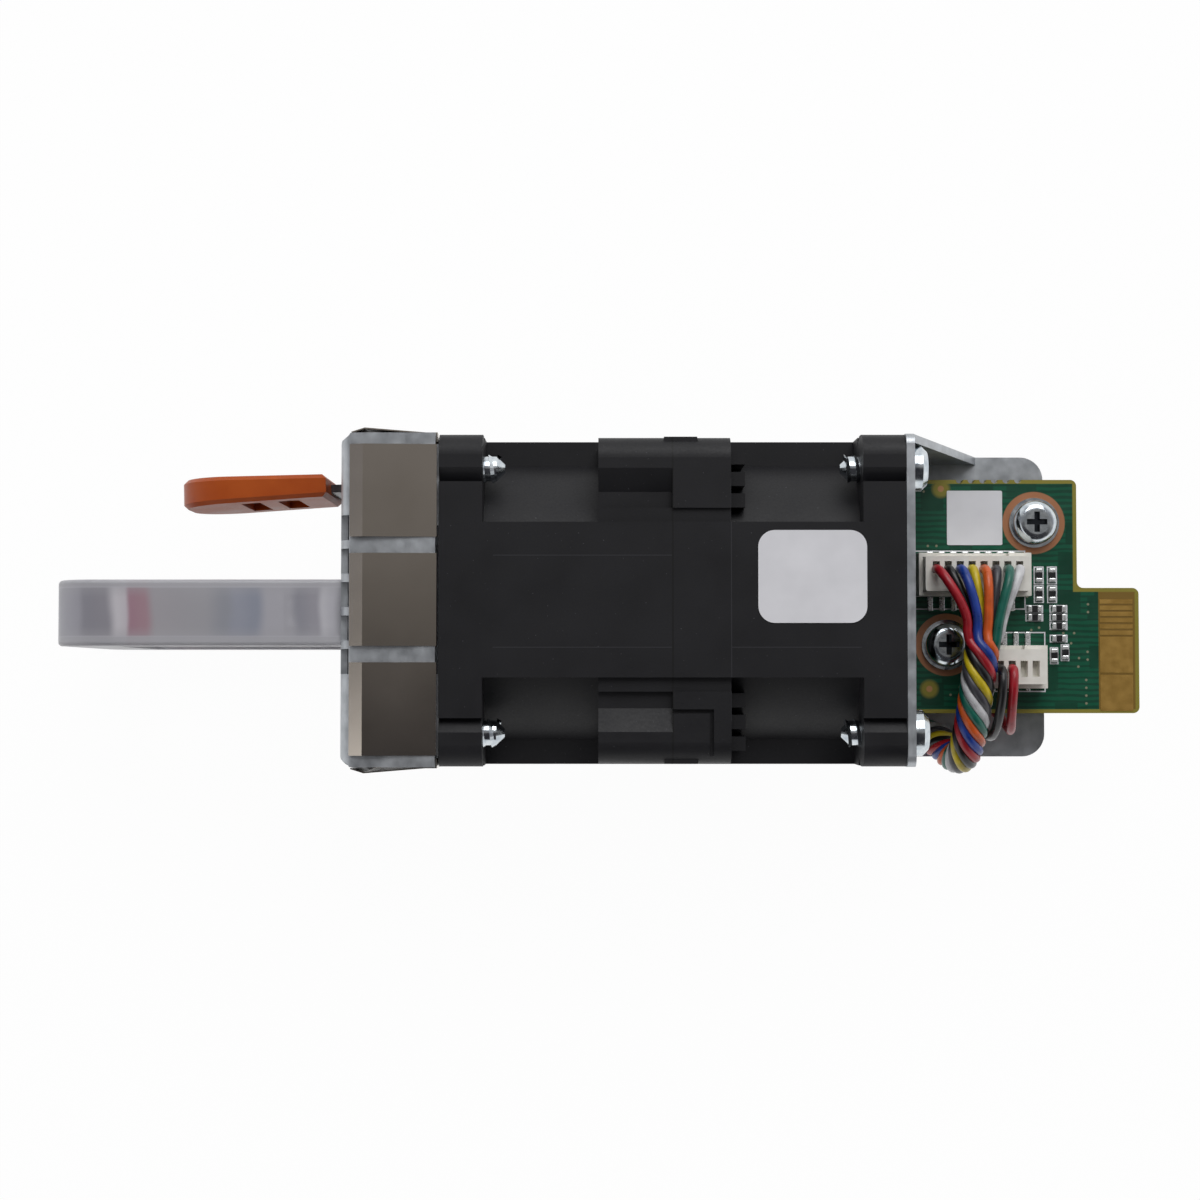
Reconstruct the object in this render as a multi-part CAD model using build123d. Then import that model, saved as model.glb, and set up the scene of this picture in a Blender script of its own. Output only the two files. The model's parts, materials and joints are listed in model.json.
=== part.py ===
from build123d import *
import math
import os

# Hot-plug fan module of a server: a 40 x 40 x 56 mm pair of counter-rotating fans between
# a folded steel bezel with a pull handle and a rear bracket that carries the plug-in board.
# Millimetres. +X is the way the module slides in, +Z is up, +Y is the latch side.
# While it is drawn, the fan axis is y = 0, z = 0 and the outlet face is x = 0.
# The finished pieces are then moved so that the origin is the bottom centre.

# Fans
fan_size = 40.0
fan_length = 56.0
screw_inset = 4.0
corner_radius = 2.6
flange_thickness = 5.2
duct_wall = 1.8
body_inset = 0.7
flat_width = 18.6
coupling_outlet = 8.9
coupling_inlet = 7.0
coupling_inset = 0.35
groove_width = 1.7
groove_depth = 0.8
shoulder_low = 11.0
shoulder_foot = 13.0
shoulder_high = 15.8
shoulder_depth = 1.3
lug_inner = 14.15
lug_bevel = 1.7
lug_bevel_depth = 1.1
snap_low = 13.6
snap_high = 18.8
snap_reach = 4.4
snap_gap = 0.5
snap_depth = 0.6
rib_length = 1.8
rib_width = 1.7
rib_pitch = 2.6
rib_first = 11.2
rib_count = 3
rib_drop = 2.4
hook_width = 8.0
hook_reach = 3.0
hook_height = 0.7
hook_gap = 0.05
hook_inset = 1.0
vane_count = 8
vane_thickness = 1.0
vane_length = 3.4
vane_setback = 0.3
vane_pitch = 20.0

# Motors, measured from the middle joint towards each outer face
base_thickness = 1.6
base_radius = 11.8
tube_outer_radius = 5.0
tube_end = 18.0
bearing_outer_radius = 4.0
bearing_width = 3.0
bearing_inset = 0.6
shaft_radius = 1.5
shaft_start = 2.2
running_clearance = 0.05
seat_clearance = 0.03
driver_board_radius = 9.6
driver_board_thickness = 1.0
driver_board_gap = 0.3
core_radius = 8.9
core_shoe = 0.9
core_ring = 1.2
core_start = 6.4
core_length = 8.0
tooth_width = 1.6
coil_build = 1.0
air_gap = 0.4
magnet_thickness = 1.1
magnet_start = 5.4
magnet_length = 10.0
cup_wall = 0.6
cup_start = 4.6
cup_end = 20.8
hub_wall = 1.1
hub_start = 4.2
hub_nose = 1.2
hub_nose_chamfer = 1.1
blade_start = 5.2
blade_end = 21.4
blade_tip_gap = 0.6
blade_root_thickness = 1.3
blade_tip_thickness = 0.8
blade_root_sweep = 6.4
blade_tip_sweep = 11.5
blade_camber = 1.8
outlet_blades = 7
inlet_blades = 5

# Self-tapping fan screws
screw_radius = 1.5
screw_head_radius = 2.8
screw_head_height = 1.9
screw_head_chamfer = 0.7
screw_reach = 7.8
screw_tip = 1.0
screw_tip_taper = 0.35
hole_clearance = 0.1
recess_width = 0.7
recess_length = 2.6
recess_depth = 1.0

# Front bezel
bezel_depth = 11.8
sheet = 0.8
bend_radius = 1.6
skirt_gap = 0.4
seam = 0.3
relief_radius = 0.9
vent_flats = 3.0
vent_pitch = 4.0
vent_offset = 0.6
vent_margin = 3.2
vent_columns = 5
bend_notch_depth = 1.1
clip_size = 6.6
clip_inset = 1.3
clip_leg = 7.0
clip_leg_width = 4.2
clip_ear = 2.2
head_gap = 0.1
weld_size = 3.0

# Spring fingers
finger_sheet = 0.15
finger_inset = 1.4
finger_gap = 1.95
finger_rise = 0.6
finger_peak = 9.0
finger_end = 10.6
finger_hook = 2.4
finger_seat = 0.02

# Handle
handle_reach = 35.1
handle_inset = 2.0
handle_width = 8.0
handle_offset = -1.5
handle_thickness = 5.6
grip_thickness = 7.0
handle_skin = 1.6
handle_wall = 1.0
handle_corner = 5.0
handle_edge = 0.5
boss_radius = 2.5
boss_length = 7.0
handle_screw_radius = 1.25
handle_screw_head_radius = 2.3
handle_screw_head_height = 1.5
handle_screw_length = 6.0
tag_length = 18.0
tag_thickness = 0.2
tag_margin = 0.3

# Latch
lever_sheet = 1.0
lever_inset = 5.5
lever_low = -4.5
lever_high = 7.1
pin_x = -2.6
pin_offset = 1.3
pin_radius = 0.9
eye_radius = 1.9
eye_length = 2.6
pin_ear_gap = 0.5
tooth_front = -8.5
tooth_back = -4.5
tooth_reach = 0.8
tooth_flat = 0.6
latch_travel = 10.0
latch_clearance = 0.3
tab_start = 2.7
tab_length = 18.6
tab_thickness = 2.75
tab_end_thickness = 3.6
tab_height = 17.0
tab_low = -5.0
tab_round = 6.5
tab_edge = 0.5
tab_lean = 1.4
tab_wells = [(3.8, 6.4), (8.6, 11.0)]
tab_well_depth = 0.6
tab_well_margin = 3.0
blade_insert = 5.5
blade_margin = 0.6
spring_wire = 0.3
spring_turns = 3

# Rear bracket: from here on, x is measured from the inlet face
bracket_sheet = 1.0
bracket_opening = 17.4
shelf_end = 22.0
shelf_top = -8.5
shelf_low_inset = 0.3
shelf_corner = 3.0
gusset_reach = 12.2
cable_inset = 3.4
cable_pad_width = 7.8
cable_pad_edge = 0.6
cable_pad_top = -2.6

# Circuit board
board_top = 0.5
board_thickness = 1.6
board_start = 1.6
board_end = 24.5
board_low_y = -13.85
board_high_y = 16.1
tongue_end = 32.4
tongue_high_y = 2.2
board_corner = 0.8
scallop_radius = 0.45
scallop_count = 6
scallop_x = 9.5
connector_pitch = 1.5
contact_sheet = 0.05
contact_start = 27.4
contact_end = 31.6
contact_width = 0.55
contact_pitch = 0.8
contact_count = 6
contact_first_y = 0.45
wide_contact_width = 4.6
wide_contact_gap = 0.3
standoff_radius = 2.6
board_screw_radius = 1.45
board_screw_head_radius = 2.8
board_screw_head_height = 1.9
board_screw_head_round = 1.2
board_screw_length = 6.0
washer_radius = 3.2
washer_thickness = 0.4
board_screw_spots = [(19.0, 10.55), (7.7, -5.1)]

# Connectors on the board
plug_first_x = 5.63
plug_y = 3.8
plug_depth = 4.4
plug_end_margin = 1.35
plug_top = 6.0
small_plug_first_x = 13.6
small_plug_y = -7.95
header_wall = 0.5
header_height = 3.4
plug_seat = 1.0
plug_slot = 0.9
plug_slot_depth = 1.5
plug_slot_length = 2.0
plug_slot_shift = 0.55
small_slot_shift = -0.25
large_ways = 8
small_ways = 4
leg_width = 0.5
leg_length = 1.3
leg_thickness = 0.25

# Chip resistors, by their middles: those that lie along X and those that lie along Y
resistor_size = (1.6, 0.8, 0.45)
resistors_along_x = [(19.0, -0.5), (22.1, -0.5), (19.0, -1.6), (22.1, -1.6), (22.1, -2.7), (22.1, -4.3)]
resistors_along_y = [(19.6, 3.8), (21.3, 3.8), (19.6, 1.4), (21.3, 1.4), (21.5, -6.5), (22.9, -6.1)]

# Labels
label_thickness = 0.1
fan_label_spot = (-11.3, 2.75)
fan_label_size = (13.0, 11.1)
fan_label_corner = 2.0
board_label_spot = (11.4, 11.2)
board_label_size = (7.1, 7.0)
board_label_corner = 0.2

# Wires. The points of each _hang list take y from the middle of the bundle's exit
lead_diameter = 1.2
bundle_diameter = 4.4
lead_pitch = 0.63
lead_row = 1.2
bundle_hang = [
    (11.2, 13.4, 8.4),
    (10.8, 9.4, 8.0),
    (10.3, 5.0, 7.2),
    (9.9, 0.8, 5.6),
    (9.6, -2.7, 2.4),
    (9.0, -2.9, -1.9),
    (7.6, -0.8, -5.2),
    (5.0, 0.0, -5.9),
    (2.4, 0.0, -5.9),
]
black_start = [(13.6, -8.2, 6.0), (13.6, -8.2, 8.0)]
black_hang = [
    (13.4, 5.4, 8.6),
    (13.2, 1.8, 6.7),
    (13.1, -0.3, 3.0),
    (13.0, -0.1, -1.2),
    (12.2, 2.3, -3.9),
    (9.6, 3.9, -4.6),
    (6.0, 3.7, -4.6),
    (2.4, 3.7, -4.6),
]
red_start = [(15.1, -8.2, 6.0), (15.1, -8.2, 7.4)]
red_hang = [
    (14.9, 5.6, 7.7),
    (15.0, 2.4, 5.6),
    (15.6, 0.4, 2.2),
    (16.0, 0.8, -1.8),
    (15.0, 2.9, -4.9),
    (11.6, 4.5, -6.3),
    (6.6, 3.7, -6.6),
    (2.4, 3.7, -6.6),
]
lead_colours = ["red", "black", "blue", "yellow", "orange", "grey", "green", "white"]
lead_rise = 1.6
lead_step = 1.4
lead_straight = 1.6

# Values that follow from the sizes above
mid_x = fan_length / 2
half = fan_size / 2
duct_radius = half - duct_wall
body_radius = half - body_inset
screw_spot = half - screw_inset
front_x = -bezel_depth
lever_y = half - lever_inset
pin_y = lever_y - pin_offset
exit_y = cable_inset - half
shelf_low_y = shelf_low_inset - half
shelf_high_y = screw_spot + screw_head_radius + head_gap + bracket_sheet
bundle_route = [(x, y + exit_y, z) for x, y, z in bundle_hang]
black_route = black_start + [(x, y + exit_y, z) for x, y, z in black_hang]
red_route = red_start + [(x, y + exit_y, z) for x, y, z in red_hang]
board_bottom = board_top - board_thickness
magnet_inner = core_radius + air_gap
cup_inner = magnet_inner + magnet_thickness + seat_clearance
hub_inner = cup_inner + cup_wall + seat_clearance
hub_radius = hub_inner + hub_wall
tip_radius = duct_radius - blade_tip_gap
hub_end = cup_end + seat_clearance + hub_nose
core_end = core_start + core_length
handle_height = fan_size - 2 * handle_inset
strip_width = fan_size - 2 * finger_inset
finger_width = (strip_width - 2 * finger_gap) / 3
handle_end = front_x - handle_reach
arm_z = handle_height / 2 - handle_thickness / 2
shift_x = -(handle_end + fan_length + tongue_end) / 2
solids = {}


def place(name, shape):
    """Keeps a finished piece under its name."""
    solids[name] = shape


def place_rear(name, shape):
    """Keeps a piece that was drawn with its x measured from the inlet face."""
    place(name, Pos(fan_length, 0, 0) * shape)


def block(x_from, x_to, y_from, y_to, z_from, z_to):
    centre = Pos((x_from + x_to) / 2, (y_from + y_to) / 2, (z_from + z_to) / 2)
    return centre * Box(abs(x_to - x_from), abs(y_to - y_from), abs(z_to - z_from))


def slab(outline, x_from, x_to):
    """Extrudes an outline, drawn in Y and Z, from one x to another."""
    low = min(x_from, x_to)
    return extrude(Plane.YZ.offset(low) * outline, amount=abs(x_to - x_from))


def rod(radius, x_from, x_to, y=0.0, z=0.0):
    return slab(Pos(y, z) * Circle(radius), x_from, x_to)


def post(radius, x, y, z_from, z_to):
    return extrude(Plane.XY.offset(z_from) * Pos(x, y) * Circle(radius), amount=z_to - z_from)


def join(shapes):
    total = shapes[0]
    for shape in shapes[1:]:
        total = total + shape
    return total


def group(shapes):
    """Separate solids that share one file."""
    return Compound(children=list(shapes))


def four_corners(spot):
    return [(y, z) for y in (-spot, spot) for z in (-spot, spot)]


def ribbon(points, thickness):
    """The outline of a thin sheet whose middle line runs through the points."""
    sides = ([], [])
    for index, point in enumerate(points):
        before = Vector(*points[max(index - 1, 0)])
        after = Vector(*points[min(index + 1, len(points) - 1)])
        here = Vector(*point)
        first = (here - before).normalized() if index > 0 else (after - here).normalized()
        second = (after - here).normalized() if index < len(points) - 1 else first
        middle = (first + second).normalized()
        reach = thickness / 2 / max(middle.dot(first), 0.3)
        normal = Vector(-middle.Y, middle.X)
        for side, way in zip(sides, (1, -1)):
            spot = here + normal * (way * reach)
            side.append((spot.X, spot.Y))
    return make_face(Polyline(*sides[0], *reversed(sides[1]), close=True))


def along(side, distance):
    """The x at a distance from the middle joint, towards the outlet (-1) or the inlet (1)."""
    return mid_x + side * distance


# Fan frames

def frame_outline():
    return Circle(body_radius) + Rectangle(flat_width, fan_size) + Rectangle(fan_size, flat_width)


def eight_sides(shape):
    """The same shape at both ends of each of the four sides."""
    shapes = []
    for turn in range(4):
        shapes.append(Rot(0, 0, 90 * turn) * shape)
        shapes.append(Rot(0, 0, 90 * turn) * mirror(shape, about=Plane.YZ))
    return shapes


def coupling_outline():
    """The square of the middle joint, with a groove each side of every flat."""
    outline = RectangleRounded(fan_size - 2 * coupling_inset, fan_size - 2 * coupling_inset, corner_radius)
    outline = outline + Rectangle(flat_width, fan_size) + Rectangle(fan_size, flat_width)
    groove_spot = flat_width / 2 + groove_width / 2
    groove = Pos(groove_spot, half - groove_depth / 2) * Rectangle(groove_width, groove_depth + 0.01)
    return outline - eight_sides(groove)


def shouldered_outline():
    """The outlet fan's half of the joint, whose corner blocks step down towards the flats."""
    top = half - coupling_inset
    foot = top - shoulder_depth
    step = make_face(Polyline((shoulder_low, half + 1), (shoulder_low, foot), (shoulder_foot, foot),
                              (shoulder_high, top), (shoulder_high, half + 1), close=True))
    return coupling_outline() - eight_sides(step)


def flange_outline():
    """The square flange, with a bevel beside each screw lug."""
    lug_top = lug_inner + lug_bevel
    bevel = make_face(Polyline((lug_inner, half + 1), (lug_inner, half - lug_bevel_depth),
                               (lug_top, half), (lug_top, half + 1), close=True))
    return RectangleRounded(fan_size, fan_size, corner_radius) - eight_sides(bevel)


def static_vanes(side):
    """The fixed vanes that carry the motor base and straighten the air."""
    inner = base_radius - 0.6
    outer = duct_radius + 0.4
    shapes = []
    for index in range(vane_count):
        vane = Pos(along(side, vane_length / 2 + vane_setback), 0, (inner + outer) / 2)
        vane = vane * Rot(0, 0, side * vane_pitch) * Box(vane_length, vane_thickness, outer - inner)
        shapes.append(Rot(360 / vane_count * index, 0, 0) * vane)
    return shapes


def coupling_hooks():
    """The two hooks of the outlet frame, which reach over the middle joint."""
    top = half - coupling_inset
    hook_top = top - hook_inset
    return [block(mid_x - 1, mid_x + hook_reach, way * (top - hook_height), way * top,
                  hook_top - hook_width, hook_top) for way in (-1, 1)]


def fan_frame(side, coupling, joint_outline):
    end = along(side, fan_length / 2)
    frame = slab(frame_outline(), mid_x, end)
    frame = frame + slab(flange_outline(), along(side, mid_x - flange_thickness), end)
    frame = frame + slab(joint_outline, mid_x, along(side, coupling))
    frame = frame - rod(duct_radius, mid_x - fan_length, mid_x + fan_length)
    frame = frame + rod(base_radius, mid_x, along(side, base_thickness))
    frame = join([frame] + static_vanes(side))
    frame = frame + rod(tube_outer_radius, mid_x, along(side, tube_end))
    bore = bearing_outer_radius + seat_clearance
    frame = frame - rod(bore, along(side, base_thickness), along(side, tube_end + 1))
    flange_start = along(side, mid_x - flange_thickness - 1)
    for y, z in four_corners(screw_spot):
        frame = frame - rod(screw_radius + seat_clearance, flange_start, end, y, z)
    return frame


def outlet_frame():
    return join([fan_frame(-1, coupling_outlet, shouldered_outline())] + coupling_hooks())


def rim_ribs():
    """Short ribs behind the joint of the inlet fan, on its top and its underside."""
    start = mid_x + coupling_inlet
    shapes = []
    for index in range(rib_count):
        y = rib_first + rib_pitch * index
        rise = math.sqrt(body_radius ** 2 - (y + rib_width / 2) ** 2)
        rib = block(start - 0.1, start + rib_length, y, y + rib_width, rise - 1.0, half - rib_drop)
        for way in (0, 180):
            shapes.append(Rot(way, 0, 0) * rib)
            shapes.append(Rot(way, 0, 0) * mirror(rib, about=Plane.XZ))
    return [shape - rod(duct_radius, mid_x, mid_x + fan_length) for shape in shapes]


def inlet_frame():
    frame = join([fan_frame(1, coupling_inlet, coupling_outline())] + rim_ribs())
    top = half - coupling_inset
    hook_top = top - hook_inset
    for way in (-1, 1):
        pocket = block(mid_x - 1, mid_x + hook_reach + hook_gap, way * (top - hook_height - hook_gap),
                       way * (half + 1), hook_top - hook_width - hook_gap, hook_top + hook_gap)
        frame = frame - pocket
    low = top - snap_depth
    gap = block(mid_x - 1, mid_x + snap_reach + snap_gap, -snap_high - snap_gap, -snap_low + snap_gap,
                low, half + 1)
    gap = gap - block(mid_x - 2, mid_x + snap_reach, -snap_high, -snap_low, low - 1, half + 2)
    return frame - gap - Rot(180, 0, 0) * gap


# Motors

def bearings(side):
    shapes = []
    for start in (base_thickness + bearing_inset, tube_end - bearing_inset - bearing_width):
        ring = rod(bearing_outer_radius, along(side, start), along(side, start + bearing_width))
        bore = rod(shaft_radius + running_clearance, mid_x - fan_length, mid_x + fan_length)
        shapes.append(ring - bore)
    return group(shapes)


def driver_board(side):
    start = base_thickness + driver_board_gap
    disc = Circle(driver_board_radius) - Circle(tube_outer_radius + seat_clearance)
    return slab(disc, along(side, start), along(side, start + driver_board_thickness))


def stator_core(side):
    inner = tube_outer_radius + seat_clearance
    outline = Circle(inner + core_ring) + (Circle(core_radius) - Circle(core_radius - core_shoe))
    for turn in (0, 90):
        outline = outline + Rot(0, 0, turn) * Rectangle(2 * core_radius - core_shoe, tooth_width)
    for turn in (45, 135):
        outline = outline - Rot(0, 0, turn) * (Pos(core_radius, 0) * Rectangle(4.4, tooth_width))
        outline = outline - Rot(0, 0, turn) * (Pos(-core_radius, 0) * Rectangle(4.4, tooth_width))
    outline = outline - Circle(inner)
    return slab(outline, along(side, core_start), along(side, core_end))


def stator_coils(side):
    inner = tube_outer_radius + core_ring + 0.15
    wide = tooth_width / 2 + coil_build
    outer = math.sqrt((core_radius - core_shoe) ** 2 - wide ** 2) - seat_clearance
    ends = sorted((along(side, core_start - coil_build), along(side, core_end + coil_build)))
    slot = sorted((along(side, core_start - seat_clearance), along(side, core_end + seat_clearance)))
    narrow = tooth_width / 2 + seat_clearance
    coil = block(*ends, -wide, wide, inner, outer) - block(*slot, -narrow, narrow, inner - 1, outer + 1)
    return group([Rot(90 * turn, 0, 0) * coil for turn in range(4)])


def magnet_ring(side):
    outline = Circle(magnet_inner + magnet_thickness) - Circle(magnet_inner)
    return slab(outline, along(side, magnet_start), along(side, magnet_start + magnet_length))


def rotor_cup(side):
    cup = rod(cup_inner + cup_wall, along(side, cup_start), along(side, cup_end))
    cup = cup - rod(cup_inner, along(side, cup_start - 1), along(side, cup_end - cup_wall))
    return cup - rod(shaft_radius + seat_clearance, mid_x - fan_length, mid_x + fan_length)


def rotor_shaft(side):
    return rod(shaft_radius, along(side, shaft_start), along(side, cup_end))


def blade_section(side, distance, sweep, thickness):
    """One section of a blade, on the plane that touches the circle of that radius."""
    plane = Plane(origin=(0, 0, distance), x_dir=(1, 0, 0), z_dir=(0, 0, 1))
    start = along(side, blade_start)
    end = along(side, blade_end)
    middle = (start + end) / 2
    lines = [
        ThreePointArc((start, -sweep / 2), (middle, blade_camber), (end, sweep / 2)),
        Line((end, sweep / 2), (end, sweep / 2 + thickness)),
        ThreePointArc((end, sweep / 2 + thickness), (middle, blade_camber + thickness),
                      (start, thickness - sweep / 2)),
        Line((start, thickness - sweep / 2), (start, -sweep / 2)),
    ]
    return plane * make_face(Curve() + lines)


def impeller(side, blades):
    hub = rod(hub_radius, along(side, hub_start), along(side, hub_end))
    nose = hub.faces().sort_by(Axis.X)[-1 if side > 0 else 0]
    hub = chamfer(nose.edges(), hub_nose_chamfer)
    hub = hub - rod(hub_inner, along(side, hub_start - 1), along(side, cup_end + seat_clearance))
    root = blade_section(side, hub_inner + 0.2, blade_root_sweep, blade_root_thickness)
    tip = blade_section(side, duct_radius + 0.5, blade_tip_sweep, blade_tip_thickness)
    blade = loft([root, tip]) & rod(tip_radius, along(side, 0), along(side, mid_x))
    return join([hub] + [Rot(360 / blades * index, 0, 0) * blade for index in range(blades)])


# Fasteners

def cross_recess(x_seat, way, y, z):
    """The cross for the driver, cut into the outer face of a head that lies on x_seat."""
    outer = x_seat - way * screw_head_height
    inner = outer + way * recess_depth
    long = recess_length / 2
    short = recess_width / 2
    upright = block(outer, inner, y - short, y + short, z - long, z + long)
    return upright + block(outer, inner, y - long, y + long, z - short, z + short)


def self_tapper(x_seat, way, y, z):
    """A pan-head screw whose head lies on x_seat and whose shank runs towards way."""
    head = rod(screw_head_radius, x_seat, x_seat - way * screw_head_height, y, z)
    top = head.faces().sort_by(Axis.X)[0 if way > 0 else -1]
    head = chamfer(top.edges(), screw_head_chamfer) - cross_recess(x_seat, way, y, z)
    shank_end = x_seat + way * (sheet + screw_reach - screw_tip)
    shank = rod(screw_radius, x_seat, shank_end, y, z)
    plane = Plane(origin=(shank_end, y, z), z_dir=(way, 0, 0))
    tip = plane * Pos(0, 0, screw_tip / 2) * Cone(screw_radius, screw_radius * screw_tip_taper, screw_tip)
    return head + shank + tip


def fan_screws(x_seat, way):
    return group([self_tapper(x_seat, way, y, z) for y, z in four_corners(screw_spot)])


# Front bezel

def vent_spots():
    """Centres of the hexagonal vents, in rows that are set half a pitch apart."""
    row_pitch = vent_pitch * math.sqrt(3) / 2
    limit = half - vent_margin
    spots = []
    for row in range(-5, 6):
        for column in range(-5, 6):
            y = vent_offset + vent_pitch * (column + 0.5 * (row % 2))
            z = row_pitch * row
            near_edge = abs(y) > limit or abs(z) > limit
            near_handle = abs(y - handle_offset) < handle_width / 2 + 2.2 and abs(z) > arm_z - 5.6
            near_latch = lever_y - 5.4 < y and lever_low - 2.4 < z < lever_high + 2.4
            if not (near_edge or near_handle or near_latch):
                spots.append((y, z))
    return spots


def corner_clip(y_way, z_way):
    """A bent lug that the fan is screwed to. Its leg runs beside the screw's head."""
    top = half - sheet - finger_sheet - 0.1
    y_outer = half - clip_inset
    leg_high = screw_spot - screw_head_radius - head_gap
    leg_low = leg_high - clip_leg_width
    face = block(-sheet, 0, y_outer - clip_size, y_outer, top - clip_size, top)
    ear = block(-sheet, 0, leg_low, y_outer, top - clip_ear, top)
    leg = block(-clip_leg, 0, leg_low, leg_high, top - sheet, top)
    weld_x = -clip_leg + weld_size / 2 + 0.4
    weld_y = (leg_low + leg_high) / 2
    weld = block(weld_x - weld_size / 2, weld_x + weld_size / 2, weld_y - weld_size / 2,
                 weld_y + weld_size / 2, top - 0.1, half - sheet + 0.1)
    hole = rod(screw_radius + hole_clearance, -sheet - 1, 1, screw_spot, screw_spot)
    clip = face + ear + leg + weld - hole
    if z_way < 0:
        clip = mirror(clip, about=Plane.XY)
    if y_way < 0:
        clip = mirror(clip, about=Plane.XZ)
    return clip


def bezel_tray():
    tray = block(front_x, -skirt_gap, -half, half, -half, half)
    tray = fillet(tray.faces().sort_by(Axis.X)[0].edges(), bend_radius)
    inside = block(front_x + sheet, 1, -half + sheet, half - sheet, -half + sheet, half - sheet)
    inside = fillet(inside.faces().sort_by(Axis.X)[0].edges(), bend_radius - sheet)
    tray = tray - inside
    for y_way in (-1, 1):
        for z_way in (-1, 1):
            z_seam = sorted((z_way * (half - sheet - seam), z_way * (half - sheet)))
            y_seam = sorted((y_way * (half - sheet - 0.2), y_way * (half + 1)))
            tray = tray - block(front_x + bend_radius, 1, *y_seam, *z_seam)
            tray = tray - rod(relief_radius, front_x - 1, front_x + bend_radius,
                              y_way * half, z_way * (half - sheet - seam / 2))
    return tray


def pin_ears():
    """The two lugs of the side skirt that hold the ends of the latch pin."""
    shapes = []
    for z in (lever_low - pin_ear_gap - sheet, lever_high + pin_ear_gap):
        root = block(pin_x - 2.8, pin_x - 0.4, pin_y - 2.0, half - sheet + 0.1, z, z + sheet)
        lug = block(pin_x - 2.8, pin_x + 1.7, pin_y - 2.0, half - sheet - 0.5, z, z + sheet)
        shapes.append(root + lug - post(pin_radius + seat_clearance, pin_x, pin_y, z - 1, z + sheet + 1))
    return shapes


def front_bezel():
    bezel = bezel_tray()
    vent = RegularPolygon(vent_flats / 2, 6, major_radius=False)
    holes = [slab(Pos(y, z) * vent, front_x - 1, front_x + sheet + 0.4) for y, z in vent_spots()]
    for index in range(vent_columns):
        y = vent_offset + vent_pitch * (index - (vent_columns - 1) / 2)
        for way in (-1, 1):
            z_span = sorted((way * (half - 1.4), way * (half + 1)))
            holes.append(block(front_x - 1, front_x + bend_notch_depth, y - vent_flats / 2,
                               y + vent_flats / 2, *z_span))
    swing = (pin_x - front_x) * math.sin(math.radians(latch_travel))
    holes.append(block(front_x - 1, front_x + sheet + 1, lever_y - lever_sheet / 2 - swing - latch_clearance,
                       lever_y + lever_sheet / 2 + latch_clearance, lever_low - latch_clearance,
                       lever_high + latch_clearance))
    tooth_swing = 1.6
    holes.append(block(tooth_front - tooth_swing, tooth_back + latch_clearance, half - sheet - 0.2, half + 1,
                       lever_high - lever_sheet - latch_clearance, lever_high + latch_clearance))
    handle_hole = handle_screw_radius + hole_clearance
    for way in (-1, 1):
        holes.append(rod(handle_hole, front_x - 1, front_x + 2, handle_offset, way * arm_z))
    bezel = bezel - holes
    clips = [corner_clip(y_way, z_way) for y_way in (-1, 1) for z_way in (-1, 1)]
    return join([bezel] + clips + pin_ears())


def finger_strip():
    """The spring strip of the top skirt: three bowed fingers that hook round its rear edge."""
    fold = -skirt_gap + finger_seat + finger_sheet / 2
    under = half - sheet - finger_seat - finger_sheet / 2
    over = half + finger_seat + finger_sheet / 2
    hook = [(-finger_hook, under), (fold, under), (fold, over), (-1.2, over)]
    panel = hook[1:3] + [(-1.6, over), (-finger_peak, over + finger_rise), (-finger_end, over + 0.1)]
    shapes = [extrude(Plane.XZ * ribbon(hook, finger_sheet), amount=strip_width / 2, both=True)]
    for index in (-1, 0, 1):
        finger = extrude(Plane.XZ * ribbon(panel, finger_sheet), amount=finger_width / 2, both=True)
        shapes.append(Pos(0, index * (finger_width + finger_gap), 0) * finger)
    return join(shapes)


# Handle

def handle_outline(inset, grip_inset):
    """The U of the handle, seen from the side, drawn in X and Z."""
    reach = handle_reach - grip_inset
    height = handle_height - 2 * inset
    outline = Pos(front_x - reach / 2, 0) * Rectangle(reach, height)
    corners = outline.vertices().sort_by(Axis.X)[0:2]
    return fillet(corners, max(handle_corner - inset, 1.0))


def handle():
    outer = handle_outline(0, 0)
    gap = handle_outline(handle_thickness, grip_thickness)
    pocket = handle_outline(handle_skin, handle_skin)
    width = handle_width / 2
    body = extrude(Plane.XZ * (outer - gap), amount=width, both=True)
    rim = [edge for edge in body.edges().filter_by(Axis.X) if abs(edge.center().Z) > handle_height / 2 - 0.01]
    body = fillet(rim, handle_edge)
    core = extrude(Plane.XZ * (pocket - gap), amount=width - handle_wall, both=True)
    core = core - block(front_x - handle_skin, front_x + 1, -width, width, -half, half)
    body = body - core
    pilot = handle_screw_radius + seat_clearance
    for way in (-1, 1):
        body = body + rod(boss_radius, front_x - boss_length, front_x, 0, way * arm_z)
        body = body - rod(pilot, front_x - boss_length + 1, front_x, 0, way * arm_z)
    return Pos(0, handle_offset, 0) * body


def handle_screws():
    shapes = []
    seat = front_x + sheet
    top = seat + handle_screw_head_height
    for way in (-1, 1):
        shank = rod(handle_screw_radius, seat - handle_screw_length, seat, handle_offset, way * arm_z)
        head = rod(handle_screw_head_radius, seat, top, handle_offset, way * arm_z)
        head = chamfer(head.faces().sort_by(Axis.X)[-1].edges(), screw_head_chamfer)
        shapes.append(shank + head)
    return group(shapes)


def airflow_tag():
    """The coloured strip inside the channel of the grip."""
    x = handle_end + handle_skin
    width = handle_width / 2 - handle_wall - tag_margin
    return block(x, x + tag_thickness, handle_offset - width, handle_offset + width,
                 -tag_length / 2, tag_length / 2)


# Latch

def lean(shape):
    """Turns what lies outside the bezel to the lever's resting lean."""
    pivot = Pos(front_x, lever_y, 0)
    return pivot * Rot(0, 0, tab_lean) * pivot.inverse() * shape


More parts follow.
